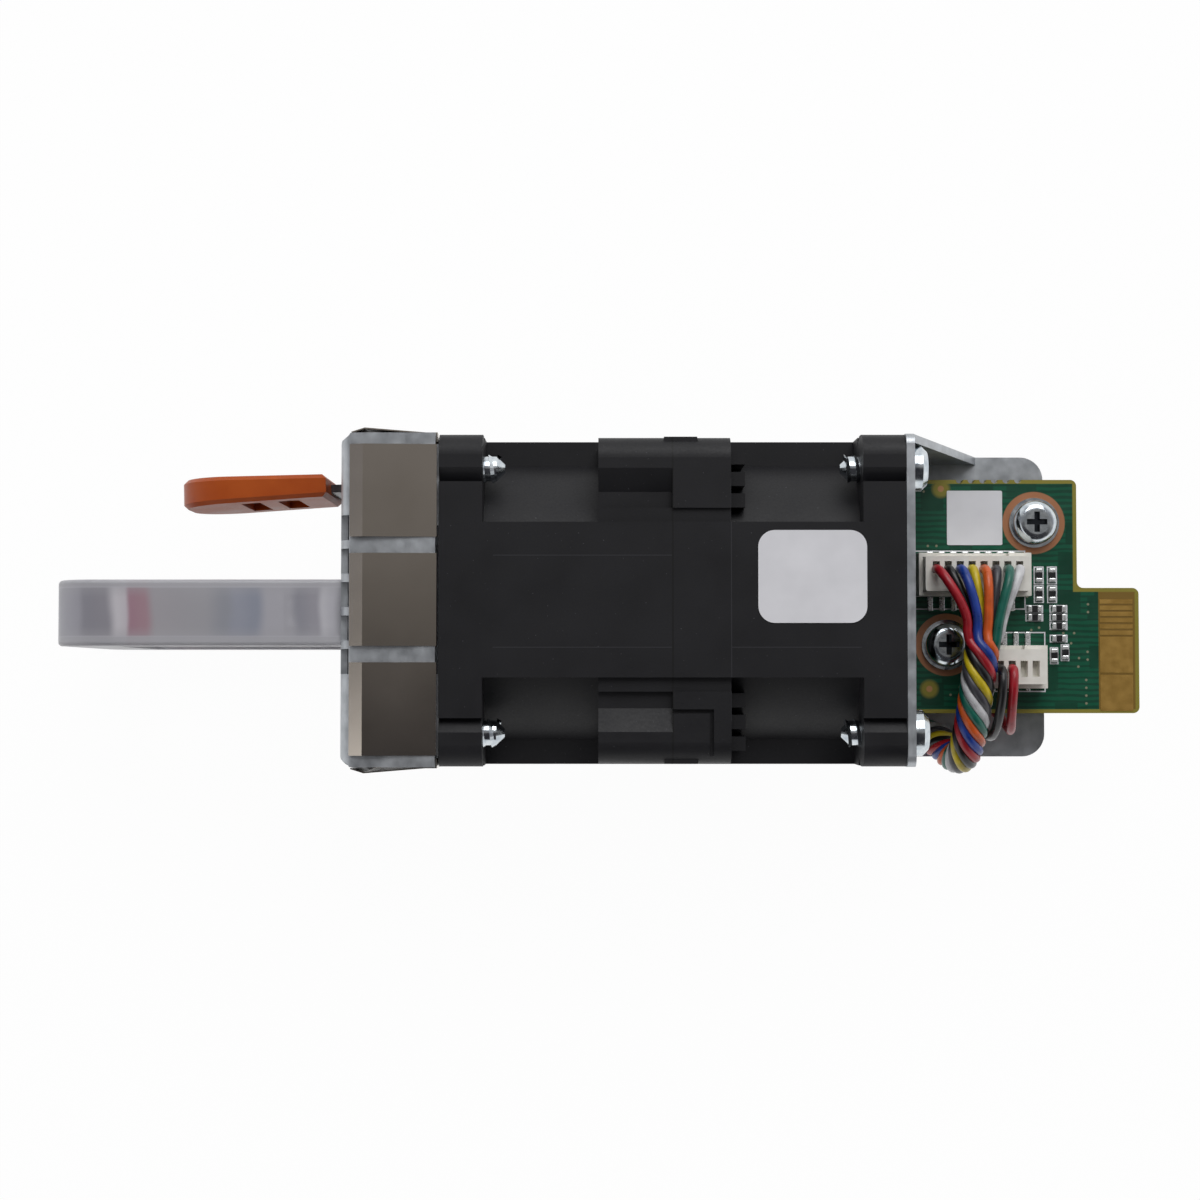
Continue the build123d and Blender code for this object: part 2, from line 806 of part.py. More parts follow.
def latch_lever():
    low_y = lever_y - lever_sheet / 2
    high_y = lever_y + lever_sheet / 2
    plate = block(front_x, pin_x, low_y, high_y, lever_low, lever_high)
    arm = lean(block(front_x - tab_start - blade_insert, front_x + 0.1, low_y, high_y,
                     lever_low + blade_margin, lever_high - blade_margin))
    tip_y = half + tooth_reach
    tooth = make_face(Polyline((tooth_front, low_y), (tooth_front, tip_y), (tooth_front + tooth_flat, tip_y),
                               (tooth_back, half - 0.1), (tooth_back, low_y), close=True))
    tooth = extrude(Plane.XY.offset(lever_high - lever_sheet) * tooth, amount=lever_sheet)
    lever = plate + arm + tooth
    for start in (lever_low, lever_high - lever_sheet - eye_length):
        lever = lever + post(eye_radius, pin_x, pin_y, start, start + eye_length)
    window = block(pin_x - eye_radius - 0.6, pin_x + eye_radius + 1, low_y - 3, high_y + 1,
                   lever_low + eye_length, lever_high - lever_sheet - eye_length)
    lever = lever - window
    rear = block(pin_x - eye_radius, pin_x + 3, low_y - 3, high_y + 1,
                 lever_high - lever_sheet, lever_high + 1)
    lever = lever - rear
    return lever - post(pin_radius + running_clearance, pin_x, pin_y, lever_low - 1, lever_high + 1)


def latch_tab():
    """The finger tab: rounded at its free end, where it is also thicker."""
    x_end = front_x - tab_start
    x_free = x_end - tab_length
    y_high = lever_y + tab_thickness / 2
    y_low = lever_y - tab_thickness / 2
    side_view = Pos(x_end - tab_length / 2, tab_low + tab_height / 2) * Rectangle(tab_length, tab_height)
    side_view = fillet(side_view.vertices().sort_by(Axis.X)[0:2], tab_round)
    top_view = make_face(Polyline((x_end, y_low), (x_end, y_high), (x_free, y_high),
                                  (x_free, y_high - tab_end_thickness), close=True))
    tab = extrude(Plane.XY.offset(tab_low) * top_view, amount=tab_height)
    tab = tab & extrude(Plane.XZ.offset(-half) * side_view, amount=half)
    tab = chamfer(tab.faces().sort_by(Axis.Y)[0].edges() + tab.faces().sort_by(Axis.Y)[-1].edges(), tab_edge)
    slot = lever_sheet / 2 + seat_clearance
    slot_end = x_end - blade_insert - seat_clearance
    slot_margin = blade_margin - seat_clearance
    tab = tab - block(slot_end, x_end + 1, lever_y - slot, lever_y + slot,
                      lever_low + slot_margin, lever_high - slot_margin)
    for near, far in tab_wells:
        tab = tab - block(x_end - far, x_end - near, y_low - 1, y_low + tab_well_depth,
                          tab_low + tab_well_margin, tab_low + tab_height - tab_well_margin)
    return lean(tab)


def latch_pin():
    return post(pin_radius, pin_x, pin_y, lever_low - pin_ear_gap - sheet, lever_high + pin_ear_gap + sheet)


def latch_spring():
    """The torsion spring round the pin, between the lever's two eyes."""
    low = lever_low + eye_length + 0.4
    height = lever_high - lever_sheet - 2 * eye_length - lever_low - 0.8
    radius = pin_radius + running_clearance + spring_wire
    path = Pos(pin_x, pin_y, low) * Helix(pitch=height / spring_turns, height=height, radius=radius)
    profile = Plane(origin=path @ 0, z_dir=path % 0) * RegularPolygon(spring_wire / 2, 6)
    return sweep(profile, path=path, is_frenet=True)


# Rear bracket

def rear_bracket():
    plate = slab(RectangleRounded(fan_size, fan_size, corner_radius / 2), 0, bracket_sheet)
    plate = plate - rod(bracket_opening, -1, bracket_sheet + 1)
    pad_low = cable_pad_edge - half
    pad = block(0, bracket_sheet, pad_low, pad_low + cable_pad_width,
                shelf_top - bracket_sheet, cable_pad_top)
    middle = Pos((bracket_sheet + shelf_end) / 2, (shelf_low_y + shelf_high_y) / 2)
    shelf_outline = middle * Rectangle(shelf_end - bracket_sheet, shelf_high_y - shelf_low_y)
    shelf_outline = fillet(shelf_outline.vertices().sort_by(Axis.X)[2:4], shelf_corner)
    shelf = extrude(Plane.XY.offset(shelf_top - bracket_sheet) * shelf_outline, amount=bracket_sheet)
    seat = block(0, bracket_sheet, shelf_low_y, shelf_high_y, shelf_top - bracket_sheet, shelf_top)
    root = bracket_sheet - 0.1
    gusset = make_face(Polyline((root, half - 0.6), (root + gusset_reach, shelf_top),
                                (root + gusset_reach, shelf_top - bracket_sheet),
                                (root, shelf_top - bracket_sheet), close=True))
    gusset = extrude(Plane.XZ.offset(-shelf_high_y) * gusset, amount=bracket_sheet)
    bracket = plate + pad + shelf + seat + gusset
    for y, z in four_corners(screw_spot):
        bracket = bracket - rod(screw_radius + hole_clearance, -1, bracket_sheet + 1, y, z)
    bracket = bracket - rod(bundle_diameter / 2 + 0.2, -1, bracket_sheet + 1, *bundle_route[-1][1:])
    for route in (black_route, red_route):
        bracket = bracket - rod(lead_diameter / 2 + 0.2, -1, bracket_sheet + 1, *route[-1][1:])
    return bracket


def wire_grommet():
    """The rubber bush that the wires go through where they pass the rear plate."""
    x_end = bundle_route[-1][0]
    pad_low = cable_pad_edge - half
    bush = rod(bundle_diameter / 2 + 0.18, 0.05, bracket_sheet, *bundle_route[-1][1:])
    rim = block(bracket_sheet, x_end, pad_low + 0.2, pad_low + cable_pad_width - 0.2,
                shelf_top + 0.05, cable_pad_top - 0.1)
    rim = fillet(rim.edges().filter_by(Axis.X), 1.0)
    return bush + rim


def standoffs():
    shapes = []
    bore = board_screw_radius + seat_clearance
    for x, y in board_screw_spots:
        sleeve = post(standoff_radius, x, y, shelf_top, board_bottom)
        shapes.append(sleeve - post(bore, x, y, shelf_top + 1, board_bottom + 1))
    return group(shapes)


def board_screws():
    shapes = []
    for x, y in board_screw_spots:
        washer = post(washer_radius, x, y, board_top, board_top + washer_thickness)
        seat = board_top + washer_thickness
        head = post(board_screw_head_radius, x, y, seat, seat + board_screw_head_height)
        head = fillet(head.faces().sort_by(Axis.Z)[-1].edges(), board_screw_head_round)
        long = recess_length / 2
        short = recess_width / 2
        low = seat + board_screw_head_height - recess_depth
        head = head - block(x - long, x + long, y - short, y + short, low, low + recess_depth)
        head = head - block(x - short, x + short, y - long, y + long, low, low + recess_depth)
        shank = post(board_screw_radius, x, y, board_top - board_screw_length, board_top + 0.1)
        shapes.append(washer + head + shank)
    return group(shapes)


# Circuit board

def circuit_board():
    outline = make_face(Polyline((board_start, board_low_y), (tongue_end, board_low_y),
                                 (tongue_end, tongue_high_y), (board_end, tongue_high_y),
                                 (board_end, board_high_y), (board_start, board_high_y), close=True))
    outline = fillet(outline.vertices(), board_corner)
    for index in range(scallop_count):
        outline = outline - Pos(scallop_x + connector_pitch * index, board_high_y) * Circle(scallop_radius)
    for x, y in board_screw_spots:
        outline = outline - Pos(x, y) * Circle(board_screw_radius + hole_clearance)
    return extrude(Plane.XY.offset(board_bottom) * outline, amount=board_thickness)


def edge_contacts():
    spans = []
    for index in range(contact_count):
        y = contact_first_y - contact_pitch * index
        spans.append((y + contact_width / 2, y - contact_width / 2))
    edge = contact_first_y - contact_pitch * contact_count + contact_width / 2
    for index in range(2):
        spans.append((edge, edge - wide_contact_width))
        edge = edge - wide_contact_width - wide_contact_gap
    shapes = []
    for high, low in spans:
        for z in (board_top, board_bottom - contact_sheet):
            shapes.append(block(contact_start, contact_end, low, high, z, z + contact_sheet))
    return group(shapes)


def connector_box(first_x, ways, y, margin, depth, z_from, z_to):
    last_x = first_x + connector_pitch * (ways - 1)
    return block(first_x - margin, last_x + margin, y - depth / 2, y + depth / 2, z_from, z_to)


def header(first_x, ways, y):
    """The shell soldered to the board that the plug goes into."""
    gap = seat_clearance
    wall = header_wall + gap
    outer = connector_box(first_x, ways, y, plug_end_margin + wall, plug_depth + 2 * wall,
                          board_top, board_top + header_height)
    inner = connector_box(first_x, ways, y, plug_end_margin + gap, plug_depth + 2 * gap,
                          board_top + plug_seat, plug_top + 1)
    last_x = first_x + connector_pitch * (ways - 1)
    key = block(first_x + 1, last_x - 1, y + plug_depth / 2 - 0.1, y + plug_depth,
                board_top + plug_seat + 1, plug_top)
    return outer - inner - key


def plug(first_x, ways, y, slot_shift):
    body = connector_box(first_x, ways, y, plug_end_margin, plug_depth, board_top + plug_seat, plug_top)
    body = fillet(body.edges().filter_by(Axis.Z), 0.3)
    for index in range(ways):
        x = first_x + connector_pitch * index
        slot_y = y + slot_shift - plug_slot_length / 2
        body = body - block(x - plug_slot / 2, x + plug_slot / 2, slot_y, slot_y + plug_slot_length,
                            plug_top - plug_slot_depth, plug_top + 1)
    return body


def header_legs(first_x, ways, y, way):
    """The legs of a header, soldered to the board on the side that way points to."""
    start = y + way * (plug_depth / 2 + header_wall + seat_clearance)
    shapes = []
    for index in range(ways):
        x = first_x + connector_pitch * index
        shapes.append(block(x - leg_width / 2, x + leg_width / 2, start, start + way * leg_length,
                            board_top, board_top + leg_thickness))
    return group(shapes)


def resistors():
    length, width, height = resistor_size
    along_x = Pos(0, 0, board_top + height / 2) * Box(length, width, height)
    along_y = Rot(0, 0, 90) * along_x
    shapes = [Pos(x, y) * along_x for x, y in resistors_along_x]
    shapes += [Pos(x, y) * along_y for x, y in resistors_along_y]
    return group(shapes)


def fan_label():
    x, y = fan_label_spot
    outline = Pos(x, y) * RectangleRounded(*fan_label_size, fan_label_corner)
    return extrude(Plane.XY.offset(half) * outline, amount=label_thickness)


def board_label():
    x, y = board_label_spot
    outline = Pos(x, y) * RectangleRounded(*board_label_size, board_label_corner)
    return extrude(Plane.XY.offset(board_top) * outline, amount=label_thickness)


# Wires

def cord_radii(points):
    """The largest arc that each corner's two runs allow."""
    radii = []
    for before, here, after in zip(points, points[1:], points[2:]):
        first = Vector(*here) - Vector(*before)
        second = Vector(*after) - Vector(*here)
        turn = math.radians(first.get_angle(second))
        radii.append(0.45 * min(first.length, second.length) / math.tan(turn / 2))
    return radii


def cord(name, points, diameter):
    radii = cord_radii(points)
    path = FilletPolyline(*points, radius=radii)
    profile = Plane(origin=points[0], z_dir=path % 0) * Circle(diameter / 2)
    tube = sweep(profile, path=path)
    expected = math.pi * diameter ** 2 / 4 * path.length
    print(f"{name}: length {path.length:.1f}, volume {tube.volume:.1f} of {expected:.1f}, "
          f"radii {', '.join(f'{radius:.1f}' for radius in radii)}")
    return tube


def lead_route(index):
    """From the plug's top, up and over to this wire's own place at the start of the bundle."""
    x = plug_first_x + connector_pitch * index
    y = plug_y + plug_slot_shift
    start = Vector(*bundle_route[0])
    onward = (Vector(*bundle_route[1]) - start).normalized()
    across = (Vector(1, 0, 0) - onward * onward.X).normalized()
    up = onward.cross(across)
    upper = index % 2 == 0
    row = lead_row / 2 if upper else -lead_row / 2
    spot = start + across * (lead_pitch * (index - (large_ways - 1) / 2)) + up * row
    back = spot - onward * lead_straight
    rise = lead_rise + (lead_step if upper else 0)
    return [(x, y, plug_top), (x, y, plug_top + rise), tuple(back), tuple(spot)]


def build():
    place("front_bezel", front_bezel())
    for index, side_name in enumerate(("top", "latch_side", "bottom", "far_side")):
        place("spring_fingers_" + side_name, Rot(-90 * index, 0, 0) * finger_strip())
    place("pull_handle", handle())
    place("handle_screws", handle_screws())
    place("airflow_tag", airflow_tag())
    place("latch_lever", latch_lever())
    place("latch_tab", latch_tab())
    place("latch_pin", latch_pin())
    place("latch_spring", latch_spring())
    place("outlet_frame", outlet_frame())
    place("inlet_frame", inlet_frame())
    for fan, side, blades in (("outlet", -1, outlet_blades), ("inlet", 1, inlet_blades)):
        place(fan + "_bearings", bearings(side))
        place(fan + "_driver_board", driver_board(side))
        place(fan + "_stator_core", stator_core(side))
        place(fan + "_coils", stator_coils(side))
        place(fan + "_magnet_ring", magnet_ring(side))
        place(fan + "_rotor_cup", rotor_cup(side))
        place(fan + "_shaft", rotor_shaft(side))
        place(fan + "_impeller", impeller(side, blades))
    place("front_fan_screws", fan_screws(-sheet, 1))
    place("rear_fan_screws", fan_screws(fan_length + bracket_sheet, -1))
    place_rear("rear_bracket", rear_bracket())
    place_rear("wire_grommet", wire_grommet())
    place_rear("board_standoffs", standoffs())
    place_rear("board_screws", board_screws())
    place_rear("circuit_board", circuit_board())
    place_rear("edge_contacts", edge_contacts())
    place_rear("large_header", header(plug_first_x, large_ways, plug_y))
    place_rear("large_header_legs", header_legs(plug_first_x, large_ways, plug_y, -1))
    place_rear("large_plug", plug(plug_first_x, large_ways, plug_y, plug_slot_shift))
    place_rear("small_header", header(small_plug_first_x, small_ways, small_plug_y))
    place_rear("small_header_legs", header_legs(small_plug_first_x, small_ways, small_plug_y, 1))
    place_rear("small_plug", plug(small_plug_first_x, small_ways, small_plug_y, small_slot_shift))
    place_rear("board_resistors", resistors())
    place_rear("fan_label", fan_label())
    place_rear("board_label", board_label())
    for index, colour in enumerate(lead_colours):
        place_rear("lead_" + colour, cord("lead_" + colour, lead_route(index), lead_diameter))
    place_rear("wire_bundle", cord("wire_bundle", bundle_route, bundle_diameter))
    place_rear("power_lead_black", cord("power_lead_black", black_route, lead_diameter))
    place_rear("power_lead_red", cord("power_lead_red", red_route, lead_diameter))


build()
lift = finger_strip().bounding_box().max.Z
os.makedirs("parts", exist_ok=True)
for name, solid in solids.items():
    solids[name] = Pos(shift_x, 0, lift) * solid
    export_step(solids[name], f"parts/{name}.step")
print(len(solids), "nodes; bottom at", round(min(s.bounding_box().min.Z for s in solids.values()), 3))
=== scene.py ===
import bpy
import json
import math
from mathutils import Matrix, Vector


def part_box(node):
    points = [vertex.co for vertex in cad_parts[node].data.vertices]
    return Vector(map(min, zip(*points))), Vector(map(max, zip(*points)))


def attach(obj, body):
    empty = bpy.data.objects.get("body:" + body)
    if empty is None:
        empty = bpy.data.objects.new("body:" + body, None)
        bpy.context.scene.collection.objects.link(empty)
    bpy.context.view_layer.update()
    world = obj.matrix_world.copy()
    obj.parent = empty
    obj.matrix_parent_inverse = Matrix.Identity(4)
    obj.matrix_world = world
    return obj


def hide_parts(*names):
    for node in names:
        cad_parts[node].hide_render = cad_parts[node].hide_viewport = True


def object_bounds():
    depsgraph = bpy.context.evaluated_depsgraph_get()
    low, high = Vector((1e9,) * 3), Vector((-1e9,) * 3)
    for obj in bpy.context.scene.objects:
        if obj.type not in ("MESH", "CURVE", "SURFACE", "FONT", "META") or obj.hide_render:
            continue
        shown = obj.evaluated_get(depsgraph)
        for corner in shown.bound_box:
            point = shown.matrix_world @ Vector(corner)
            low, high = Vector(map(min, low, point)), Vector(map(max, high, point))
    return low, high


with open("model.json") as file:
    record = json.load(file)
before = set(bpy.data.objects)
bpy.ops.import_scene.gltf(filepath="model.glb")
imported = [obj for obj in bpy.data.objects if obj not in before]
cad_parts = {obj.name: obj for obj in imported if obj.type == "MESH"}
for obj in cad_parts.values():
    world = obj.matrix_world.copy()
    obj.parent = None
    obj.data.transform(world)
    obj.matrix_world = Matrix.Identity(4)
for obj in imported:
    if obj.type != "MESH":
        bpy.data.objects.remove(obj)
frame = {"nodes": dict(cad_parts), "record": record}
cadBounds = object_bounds()
mm = 0.001
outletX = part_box("outlet_frame")[0][0]      # x of the fans' outlet face
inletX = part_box("rear_bracket")[0][0]       # x of their inlet face
axisZ = (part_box("outlet_frame")[0][2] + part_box("outlet_frame")[1][2]) / 2
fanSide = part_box("outlet_frame")[0][1]      # y of the side that the wires hang past
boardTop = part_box("circuit_board")[1][2]
print("frame loaded:", len(frame["nodes"]), "nodes")


# millimetres from the outlet face and the fan axis, as a point of the row frame
def spot(x, y, z):
    return Vector((outletX + x * mm, y * mm, axisZ + z * mm))


# the same from the inlet face, where the rear half is measured from
def rear(x, y, z):
    return Vector((inletX + x * mm, y * mm, axisZ + z * mm))


# straight above and a little towards -Y, as in the photograph
camera = {
    "height": 280,          # mm above the fan axis
    "across": 19.3,         # mm from the outlet face
    "side": -9.6,           # mm from the fan axis
    "lean": 2.1,            # degrees
    "lens": 65.4,
    "sensor": 36,
}


def addCamera():
    place = spot(camera["across"], camera["side"], camera["height"])
    bpy.ops.object.camera_add(location=place, rotation=(math.radians(camera["lean"]), 0, 0))
    eye = bpy.context.object
    eye.name = "photoCamera"
    eye.data.lens = camera["lens"]
    eye.data.sensor_width = camera["sensor"]
    eye.data.clip_start = 0.01
    bpy.context.scene.camera = eye


addCamera()


# adds a node with its settings and links
def addNode(mat, kind, values=None, links=None, **settings):
    item = mat.node_tree.nodes.new(kind)
    for key, value in settings.items():
        setattr(item, key, value)
    for key, value in (values or {}).items():
        item.inputs[key].default_value = value
    for key, source in (links or {}).items():
        mat.node_tree.links.new(source, item.inputs[key])
    return item


def toLinear(code):
    channels = [int(code[i:i + 2], 16) / 255 for i in (1, 3, 5)]
    channels = [c / 12.92 if c < 0.04045 else ((c + 0.055) / 1.055) ** 2.4 for c in channels]
    return (*channels, 1)


surface = {
    "cloudSpan": (0.3, 0.7),        # the part of the noise over which one tone turns into the other
    "sheenSpan": (0.35, 0.65),      # and the lower roughness into the higher
    "grainDepth": 0.02,             # mm
}


# a surface with two tones in clouds, a roughness that follows them, and a fine grain as bump;
# sizes are in millimetres and stretch draws the grain out along the axes
def finish(name, tones, cloud, rough, grain=0.2, bump=0.15, stretch=(1, 1, 1), **values):
    mat = bpy.data.materials.new(name)
    mat.use_nodes = True
    bsdf = mat.node_tree.nodes["Principled BSDF"]
    for key, value in values.items():
        bsdf.inputs[key.replace("_", " ")].default_value = value
    coords = addNode(mat, "ShaderNodeTexCoord").outputs["Object"]
    clouds = addNode(mat, "ShaderNodeTexNoise", {"Scale": 1 / (cloud * mm), "Detail": 3},
                     {"Vector": coords})
    share = addNode(mat, "ShaderNodeMapRange",
                    {"From Min": surface["cloudSpan"][0], "From Max": surface["cloudSpan"][1]},
                    {"Value": clouds.outputs["Fac"]})
    tone = addNode(mat, "ShaderNodeMix", {"A": toLinear(tones[0]), "B": toLinear(tones[1])},
                   {"Factor": share.outputs["Result"]}, data_type="RGBA")
    scale = [1 / (grain * mm * factor) for factor in stretch]
    drawn = addNode(mat, "ShaderNodeMapping", {"Scale": scale}, {"Vector": coords})
    grains = addNode(mat, "ShaderNodeTexNoise", {"Scale": 1, "Detail": 3},
                     {"Vector": drawn.outputs["Vector"]})
    wear = addNode(mat, "ShaderNodeMix", {"Factor": 0.5},
                   {"A": clouds.outputs["Fac"], "B": grains.outputs["Fac"]})
    sheen = addNode(mat, "ShaderNodeMapRange",
                    {"From Min": surface["sheenSpan"][0], "From Max": surface["sheenSpan"][1],
                     "To Min": rough[0], "To Max": rough[1]},
                    {"Value": wear.outputs["Result"]})
    relief = addNode(mat, "ShaderNodeBump", {"Strength": bump, "Distance": surface["grainDepth"] * mm},
                     {"Height": grains.outputs["Fac"]})
    mat.node_tree.links.new(tone.outputs["Result"], bsdf.inputs["Base Color"])
    mat.node_tree.links.new(sheen.outputs["Result"], bsdf.inputs["Roughness"])
    mat.node_tree.links.new(relief.outputs["Normal"], bsdf.inputs["Normal"])
    return mat, bsdf, coords, tone.outputs["Result"]


# glass-filled PBT, moulded: nearly black and satin, with a few pale fibre ends in the skin, fine
# flash lines where the mould's slides met, and a dark seam where the two frames meet
mouldings = {
    "frame": ["#0c0c10", "#131317"],
    "impeller": ["#0c0c0f", "#131316"],
    "fibre": "#4a4a4e",
    "fibreSize": 0.3,               # mm
    "fibreSpan": (0.765, 0.8),      # the top of the noise, where a fibre shows
    "fibreShare": 0.6,
    "seam": ("#020203", 28.0, 0.09),                    # colour, mm from the outlet face, half width
    "flash": ("#2a2a2e", 0.03),                         # colour, half width in mm
    "flashAcross": [(35.0, -14.5, 14.5)],               # x, and the y from which and to which it runs
    "flashAlong": [(5.3, 6.5, 28.0), (-5.7, 6.5, 28.0), (-5.7, 35.0, 50.5)],        # y, and from x to x
    "lineFade": 0.04,               # mm over which a line ends
}


def mouldedPbt(name, tones):
    mat, bsdf, coords, tone = finish(name, tones, 7.0, (0.46, 0.62), 0.25, 0.3, Specular_IOR_Level=0.35)
    ends = addNode(mat, "ShaderNodeTexNoise", {"Scale": 1 / (mouldings["fibreSize"] * mm), "Detail": 1},
                   {"Vector": coords})
    few = addNode(mat, "ShaderNodeMapRange",
                  {"From Min": mouldings["fibreSpan"][0], "From Max": mouldings["fibreSpan"][1],
                   "To Max": mouldings["fibreShare"]}, {"Value": ends.outputs["Fac"]})
    flecked = addNode(mat, "ShaderNodeMix", {"B": toLinear(mouldings["fibre"])},
                      {"Factor": few.outputs["Result"], "A": tone}, data_type="RGBA")
    mat.node_tree.links.new(flecked.outputs["Result"], bsdf.inputs["Base Color"])
    return mat, bsdf, coords, flecked.outputs["Result"]


# a straight line of another colour, at one place across and between two limits along
def addLine(mat, along, across, below, place, limits, half, code):
    offset = addNode(mat, "ShaderNodeMath", {1: place}, {0: across}, operation="SUBTRACT")
    aside = addNode(mat, "ShaderNodeMath", links={0: offset.outputs[0]}, operation="ABSOLUTE")
    near = addNode(mat, "ShaderNodeMapRange",
                   {"From Min": half * mm, "From Max": (half + mouldings["lineFade"]) * mm,
                    "To Min": 1, "To Max": 0}, {"Value": aside.outputs[0]})
    past = addNode(mat, "ShaderNodeMath", {1: limits[0]}, {0: along}, operation="GREATER_THAN")
    short = addNode(mat, "ShaderNodeMath", {1: limits[1]}, {0: along}, operation="LESS_THAN")
    between = addNode(mat, "ShaderNodeMath", links={0: past.outputs[0], 1: short.outputs[0]},
                      operation="MULTIPLY")
    share = addNode(mat, "ShaderNodeMath", links={0: near.outputs["Result"], 1: between.outputs[0]},
                    operation="MULTIPLY")
    painted = addNode(mat, "ShaderNodeMix", {"B": toLinear(code)}, {"Factor": share.outputs[0], "A": below},
                      data_type="RGBA")
    return painted.outputs["Result"]


def framePbt():
    mat, bsdf, coords, colour = mouldedPbt("mouldedGlassFilledPbt", mouldings["frame"])
    parts = addNode(mat, "ShaderNodeSeparateXYZ", links={"Vector": coords})
    x, y = parts.outputs["X"], parts.outputs["Y"]
    code, half = mouldings["flash"]
    for place, start, end in mouldings["flashAcross"]:
        limits = (start * mm, end * mm)
        colour = addLine(mat, y, x, colour, spot(place, 0, 0)[0], limits, half, code)
    for place, start, end in mouldings["flashAlong"]:
        limits = (spot(start, 0, 0)[0], spot(end, 0, 0)[0])
        colour = addLine(mat, x, y, colour, place * mm, limits, half, code)
    code, place, half = mouldings["seam"]
    limits = (-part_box("outlet_frame")[1][1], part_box("outlet_frame")[1][1])
    colour = addLine(mat, y, x, colour, spot(place, 0, 0)[0], limits, half, code)
    mat.node_tree.links.new(colour, bsdf.inputs["Base Color"])
    return mat


# everything past a limit in another colour
def addZone(mat, value, below, limits, code, share=1):
    past = addNode(mat, "ShaderNodeMapRange",
                   {"From Min": limits[0], "From Max": limits[1], "To Max": share}, {"Value": value})
    painted = addNode(mat, "ShaderNodeMix", {"B": toLinear(code)},
                      {"Factor": past.outputs["Result"], "A": below}, data_type="RGBA")
    return painted.outputs["Result"]


# clear polycarbonate, moulded with frosted faces: milky grey, its channel banded by the grip and the
# red tag behind it, with a painted highlight, a paler line, along each wall's top edge
handleLook = {
    "tones": ["#bab9c0", "#cac9cf"],
    "end": -46.9,           # mm from the outlet face, where the grip ends
    "plate": -11.8,         # and where the arms meet the bezel
    "middle": -1.39,        # mm from the fan axis, the channel's own middle and half width
    "half": 2.94,
    "waver": 0.012,         # how far the bands' edges wander, as a share of the handle's length
    "waverSize": 4.545,     # mm
    "bandShare": 0.85,      # how much of the channel shows through the frosting
    "wall": ("#bbbbbf", 1.2, 0.45),         # colour, mm over which it begins, and its share
    # painted highlight: the paler line along each wall's top edge, as colour, mm over which it begins, and
    # its share
    "line": ("#d0cfd6", 0.1, 0.6),
    "outer": (0.05, 0.15, 0.6),             # mm past the line where the wall begins and is full, its share
    # how far along the handle each tone lies, from the grip to the bezel
    "bands": [(0.0, "#b7b7bf"), (0.09, "#b1b0b9"), (0.12, "#9796a0"), (0.19, "#9c9aa3"),
              (0.23, "#e2dfe4"), (0.255, "#dcd6dc"), (0.275, "#b08393"), (0.32, "#b38b97"),
              (0.36, "#b4b1b6"), (0.52, "#b0afb4"), (0.6, "#9ea1aa"), (0.64, "#a2a6b4"),
              (0.7, "#969cac"), (0.745, "#bebdc4"), (0.82, "#bdbcc3"), (0.86, "#a1a1ab"),
              (0.915, "#afadb6"), (0.94, "#dedde3"), (0.965, "#d3d2d9"), (1.0, "#a9a9af")],
}


def frostedPolycarbonate():
    mat, bsdf, coords, tone = finish("frostedPolycarbonate", handleLook["tones"], 6.0, (0.3, 0.42), 0.3,
                                     0.12, IOR=1.585, Transmission_Weight=0.3)
    parts = addNode(mat, "ShaderNodeSeparateXYZ", links={"Vector": coords})
    reach = addNode(mat, "ShaderNodeMapRange", {"From Min": spot(handleLook["end"], 0, 0)[0],
                                                "From Max": spot(handleLook["plate"], 0, 0)[0]},
                    {"Value": parts.outputs["X"]})
    drift = addNode(mat, "ShaderNodeTexNoise", {"Scale": 1 / (handleLook["waverSize"] * mm), "Detail": 0},
                    {"Vector": coords})
    waver = addNode(mat, "ShaderNodeMapRange",
                    {"To Min": -handleLook["waver"], "To Max": handleLook["waver"]},
                    {"Value": drift.outputs["Fac"]})
    wandering = addNode(mat, "ShaderNodeMath",
                        links={0: reach.outputs["Result"], 1: waver.outputs["Result"]}, operation="ADD")
    bands = addNode(mat, "ShaderNodeValToRGB", links={"Fac": wandering.outputs[0]})
    bands.color_ramp.interpolation = "EASE"
    for stop, code in handleLook["bands"][1:-1]:
        bands.color_ramp.elements.new(stop)
    for element, (stop, code) in zip(bands.color_ramp.elements, handleLook["bands"]):
        element.position = stop
        element.color = toLinear(code)
    offset = addNode(mat, "ShaderNodeMath", {1: handleLook["middle"] * mm}, {0: parts.outputs["Y"]},
                     operation="SUBTRACT")
    aside = addNode(mat, "ShaderNodeMath", links={0: offset.outputs[0]}, operation="ABSOLUTE")
    edge = handleLook["half"] * mm
    seen = bands.outputs["Color"]
    # the wall's own tone, then the painted highlight along each wall's top edge
    for code, fade, share in (handleLook["wall"], handleLook["line"]):
        seen = addZone(mat, aside.outputs[0], seen, (edge - fade * mm, edge), code, share)
    start, full, share = handleLook["outer"]
    limits = (edge + start * mm, edge + full * mm)
    seen = addZone(mat, aside.outputs[0], seen, limits, handleLook["wall"][0], share)
    mixed = addNode(mat, "ShaderNodeMix", {"Factor": handleLook["bandShare"]}, {"A": tone, "B": seen},
                    data_type="RGBA")
    mat.node_tree.links.new(mixed.outputs["Result"], bsdf.inputs["Base Color"])
    return mat


